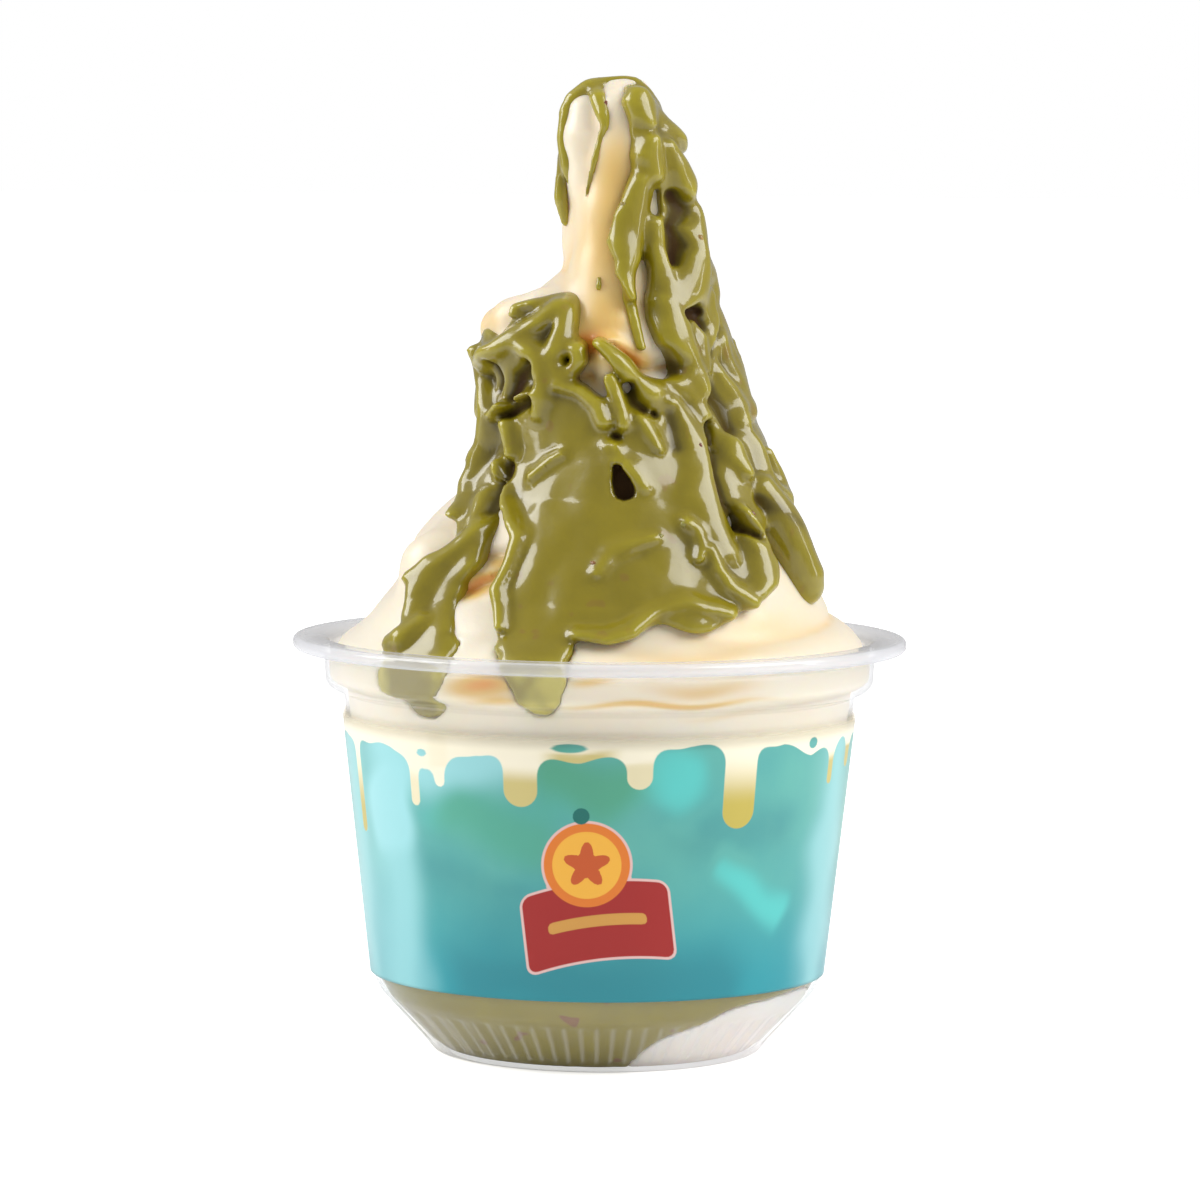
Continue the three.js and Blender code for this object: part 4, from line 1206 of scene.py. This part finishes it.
def nut_bits(points, normals, count, seed):
    """Small chopped bits half sunk in the sauce, all in one mesh."""
    random = np.random.default_rng(seed)
    sides, rings = 8, 5
    all_points, all_quads, tones = [], [], []
    for pick in random.choice(len(points), count, replace=False):
        size = random.uniform(*NUT_SIZES)
        stretch = random.uniform(0.7, 1.3, 3) * size
        lat = np.linspace(0.02, math.pi - 0.02, rings)[:, None]
        lon = np.arange(sides)[None, :] * TAU / sides
        ball = np.stack([np.sin(lat) * np.cos(lon), np.sin(lat) * np.sin(lon), np.cos(lat) + 0 * lon], 2)
        ball = ball.reshape(-1, 3) * random.uniform(0.8, 1.15, (rings * sides, 1)) * stretch
        turn = np.linalg.qr(random.normal(size=(3, 3)))[0]
        start = len(all_points) * rings * sides
        all_points.append(ball @ turn.T + points[pick] - normals[pick] * size * 0.5)
        for k in range(rings - 1):
            for i in range(sides):
                j = (i + 1) % sides
                row = start + k * sides
                all_quads.append((row + i, row + sides + i, row + sides + j, row + j))
        tones.append(np.full(rings * sides, random.uniform()))
    values = {"tone": np.concatenate(tones)}
    return add_mesh("nut_bits", np.concatenate(all_points), all_quads, values=values)


def make_ice_cream(cream, sauce, nut):
    x, y, z, origin = grid((-45, -44, 12), (46, 44.5, TIP_Z + 2))
    full, shallow = cream_field(x, y, z)
    field = sauce_field(x, y, z, full, shallow)
    full = np.where(np.broadcast_to(z < RIM_Z + 2, full.shape), np.maximum(full, -field), full)
    # The cream's mesh carries the painted warm shade as a vertex value.
    body = from_field("soft_serve", full, origin, 3, 2.6, {"warm_shade": painted_warm_shade})
    finish_piece(body, cream, "cream", "ice_cream")
    points, quads = surface_net(field, origin, VOXEL)
    points = relax(points, quads, 2)
    deep = relax(hollows(points, quads, 2.2)[:, None], quads, 2)[:, 0]
    # The grooves and pits get more painted shade.
    level = onto_tower(points)
    for line, depth in [*GROOVES.values(), *PITS.values()]:
        deep = deep + 0.3 * depth * smoothstep(1.8, 0.1, share_across(level, np.array(as_line(line))))
    pressed = smoothstep(RIM_Z + 1, RIM_Z - 2, points[:, 2])
    deep = deep * (1 - pressed)
    coat = add_mesh("pistachio_sauce", points, quads, values={"hollow": deep, "pressed": pressed})
    finish_piece(coat, sauce, "sauce", "ice_cream")
    normals = normals_of(points, quads)
    outer = (deep < 0.1) & (points[:, 2] > 70)
    bits = nut_bits(points[outer], normals[outer], NUT_COUNT, NUT_SEED)
    finish_piece(bits, nut, "sauce", "ice_cream")


cream = cream_material("soft serve cream", colour(245, 236, 217), colour(243, 228, 201))
low_cream = cream_material("cream under plastic", colour(252, 244, 236), colour(246, 232, 224))
# Sauce colours: main, patch, painted shade in creases, deepest painted shade, painted glow on ridges,
# specks.
sauce = sauce_material("pistachio sauce", colour(134, 120, 8), colour(118, 105, 6), colour(82, 70, 6),
                       colour(56, 34, 4), colour(172, 160, 30), 0.25)
low_sauce = sauce_material("pistachio sauce under plastic", colour(140, 126, 10), colour(124, 110, 6),
                           colour(110, 92, 44), colour(104, 84, 44), colour(150, 136, 52), 0.8)
make_cup(plastic_material())
make_sleeve(sleeve_material())
make_base(low_cream, low_sauce)
make_ice_cream(cream, sauce, nut_material())

# ------------------------------------------------------------------ floor, lights and camera
CAMERA_AWAY = 1.0
CAMERA_HIGH = 0.1595
CAMERA_DOWN = math.radians(4.984)
CAMERA_ROLL = math.radians(0.45)
FOCAL_PIXELS = 6284
FRAME_PIXELS = 1200
SENSOR = 36.0
ROOM_LIGHT = 0.415
FLOOR_GLOW = 0.7
FLOOR_FAR = 6.0
# The soft boxes: place, size in metres, watts and the height that they point at.
SOFT_BOXES = {
    "left_box": ((-0.65, -0.02, 0.56), (0.54, 0.42), 4.7, 0.1),
    "right_box": ((0.6, -0.2, 0.6), (0.72, 0.44), 5.5, 0.1),
    "left_strip": ((-0.8, -0.1, 0.2), (0.09, 0.36), 0.6, 0.05),
    "right_strip": ((0.8, -0.1, 0.2), (0.07, 0.36), 0.5, 0.05),
}


def make_floor():
    far = FLOOR_FAR
    mesh = bpy.data.meshes.new("floor")
    mesh.from_pydata([(-far, -far, 0), (far, -far, 0), (far, far, 0), (-far, far, 0)], [], [(0, 1, 2, 3)])
    floor = bpy.data.objects.new("floor", mesh)
    bpy.context.scene.collection.objects.link(floor)
    material, nodes, output = new_material("pale floor")
    seen_directly = nodes.add("ShaderNodeLightPath").outputs["Is Camera Ray"]
    surface = nodes.add(
        "ShaderNodeBsdfPrincipled", Roughness=0.7, Emission_Color=(1, 1, 1, 1),
        Base_Color=uneven(nodes, (0.97, 0.97, 0.97, 1), (0.95, 0.95, 0.95, 1), 3.0, 0.3),
        Emission_Strength=nodes.maths("MULTIPLY", seen_directly, FLOOR_GLOW))
    nodes.join(surface.outputs[0], output.inputs[0])
    mesh.materials.append(material)
    floor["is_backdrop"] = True


def soft_box(name, place, size, watts, aim_z):
    light = bpy.data.lights.new(name, "AREA")
    light.shape = "RECTANGLE"
    light.size, light.size_y = size
    light.energy = watts
    lamp = bpy.data.objects.new(name, light)
    lamp.location = place
    way = Vector((0, 0, aim_z)) - Vector(place)
    lamp.rotation_euler = way.to_track_quat("-Z", "Y").to_euler()
    bpy.context.scene.collection.objects.link(lamp)


def make_world():
    world = bpy.data.worlds.new("studio")
    bpy.context.scene.world = world
    world.use_nodes = True
    nodes = Nodes(world.node_tree)
    background = world.node_tree.nodes["Background"]
    background.inputs["Color"].default_value = (1, 1, 1, 1)
    seen_directly = nodes.add("ShaderNodeLightPath").outputs["Is Camera Ray"]
    nodes.join(nodes.maths("MULTIPLY_ADD", seen_directly, 1.0 - ROOM_LIGHT, ROOM_LIGHT),
               background.inputs["Strength"])


def make_camera():
    data = bpy.data.cameras.new("camera")
    data.sensor_width = SENSOR
    data.lens = SENSOR * FOCAL_PIXELS / FRAME_PIXELS
    data.clip_start = 0.01
    camera = bpy.data.objects.new("camera", data)
    tilt = Matrix.Rotation(math.pi / 2 - CAMERA_DOWN, 4, "X")
    roll = Matrix.Rotation(CAMERA_ROLL, 4, "Z")
    camera.matrix_world = Matrix.Translation((0, -CAMERA_AWAY, CAMERA_HIGH)) @ tilt @ roll
    bpy.context.scene.collection.objects.link(camera)
    bpy.context.scene.camera = camera


make_floor()
make_world()
for name, box in SOFT_BOXES.items():
    soft_box(name, *box)
make_camera()
bpy.context.scene.view_settings.view_transform = "Standard"

boxes = {"cad": cad_box, "visual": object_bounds()}
{name: [[float(v) for v in corner] for corner in box] for name, box in boxes.items()}
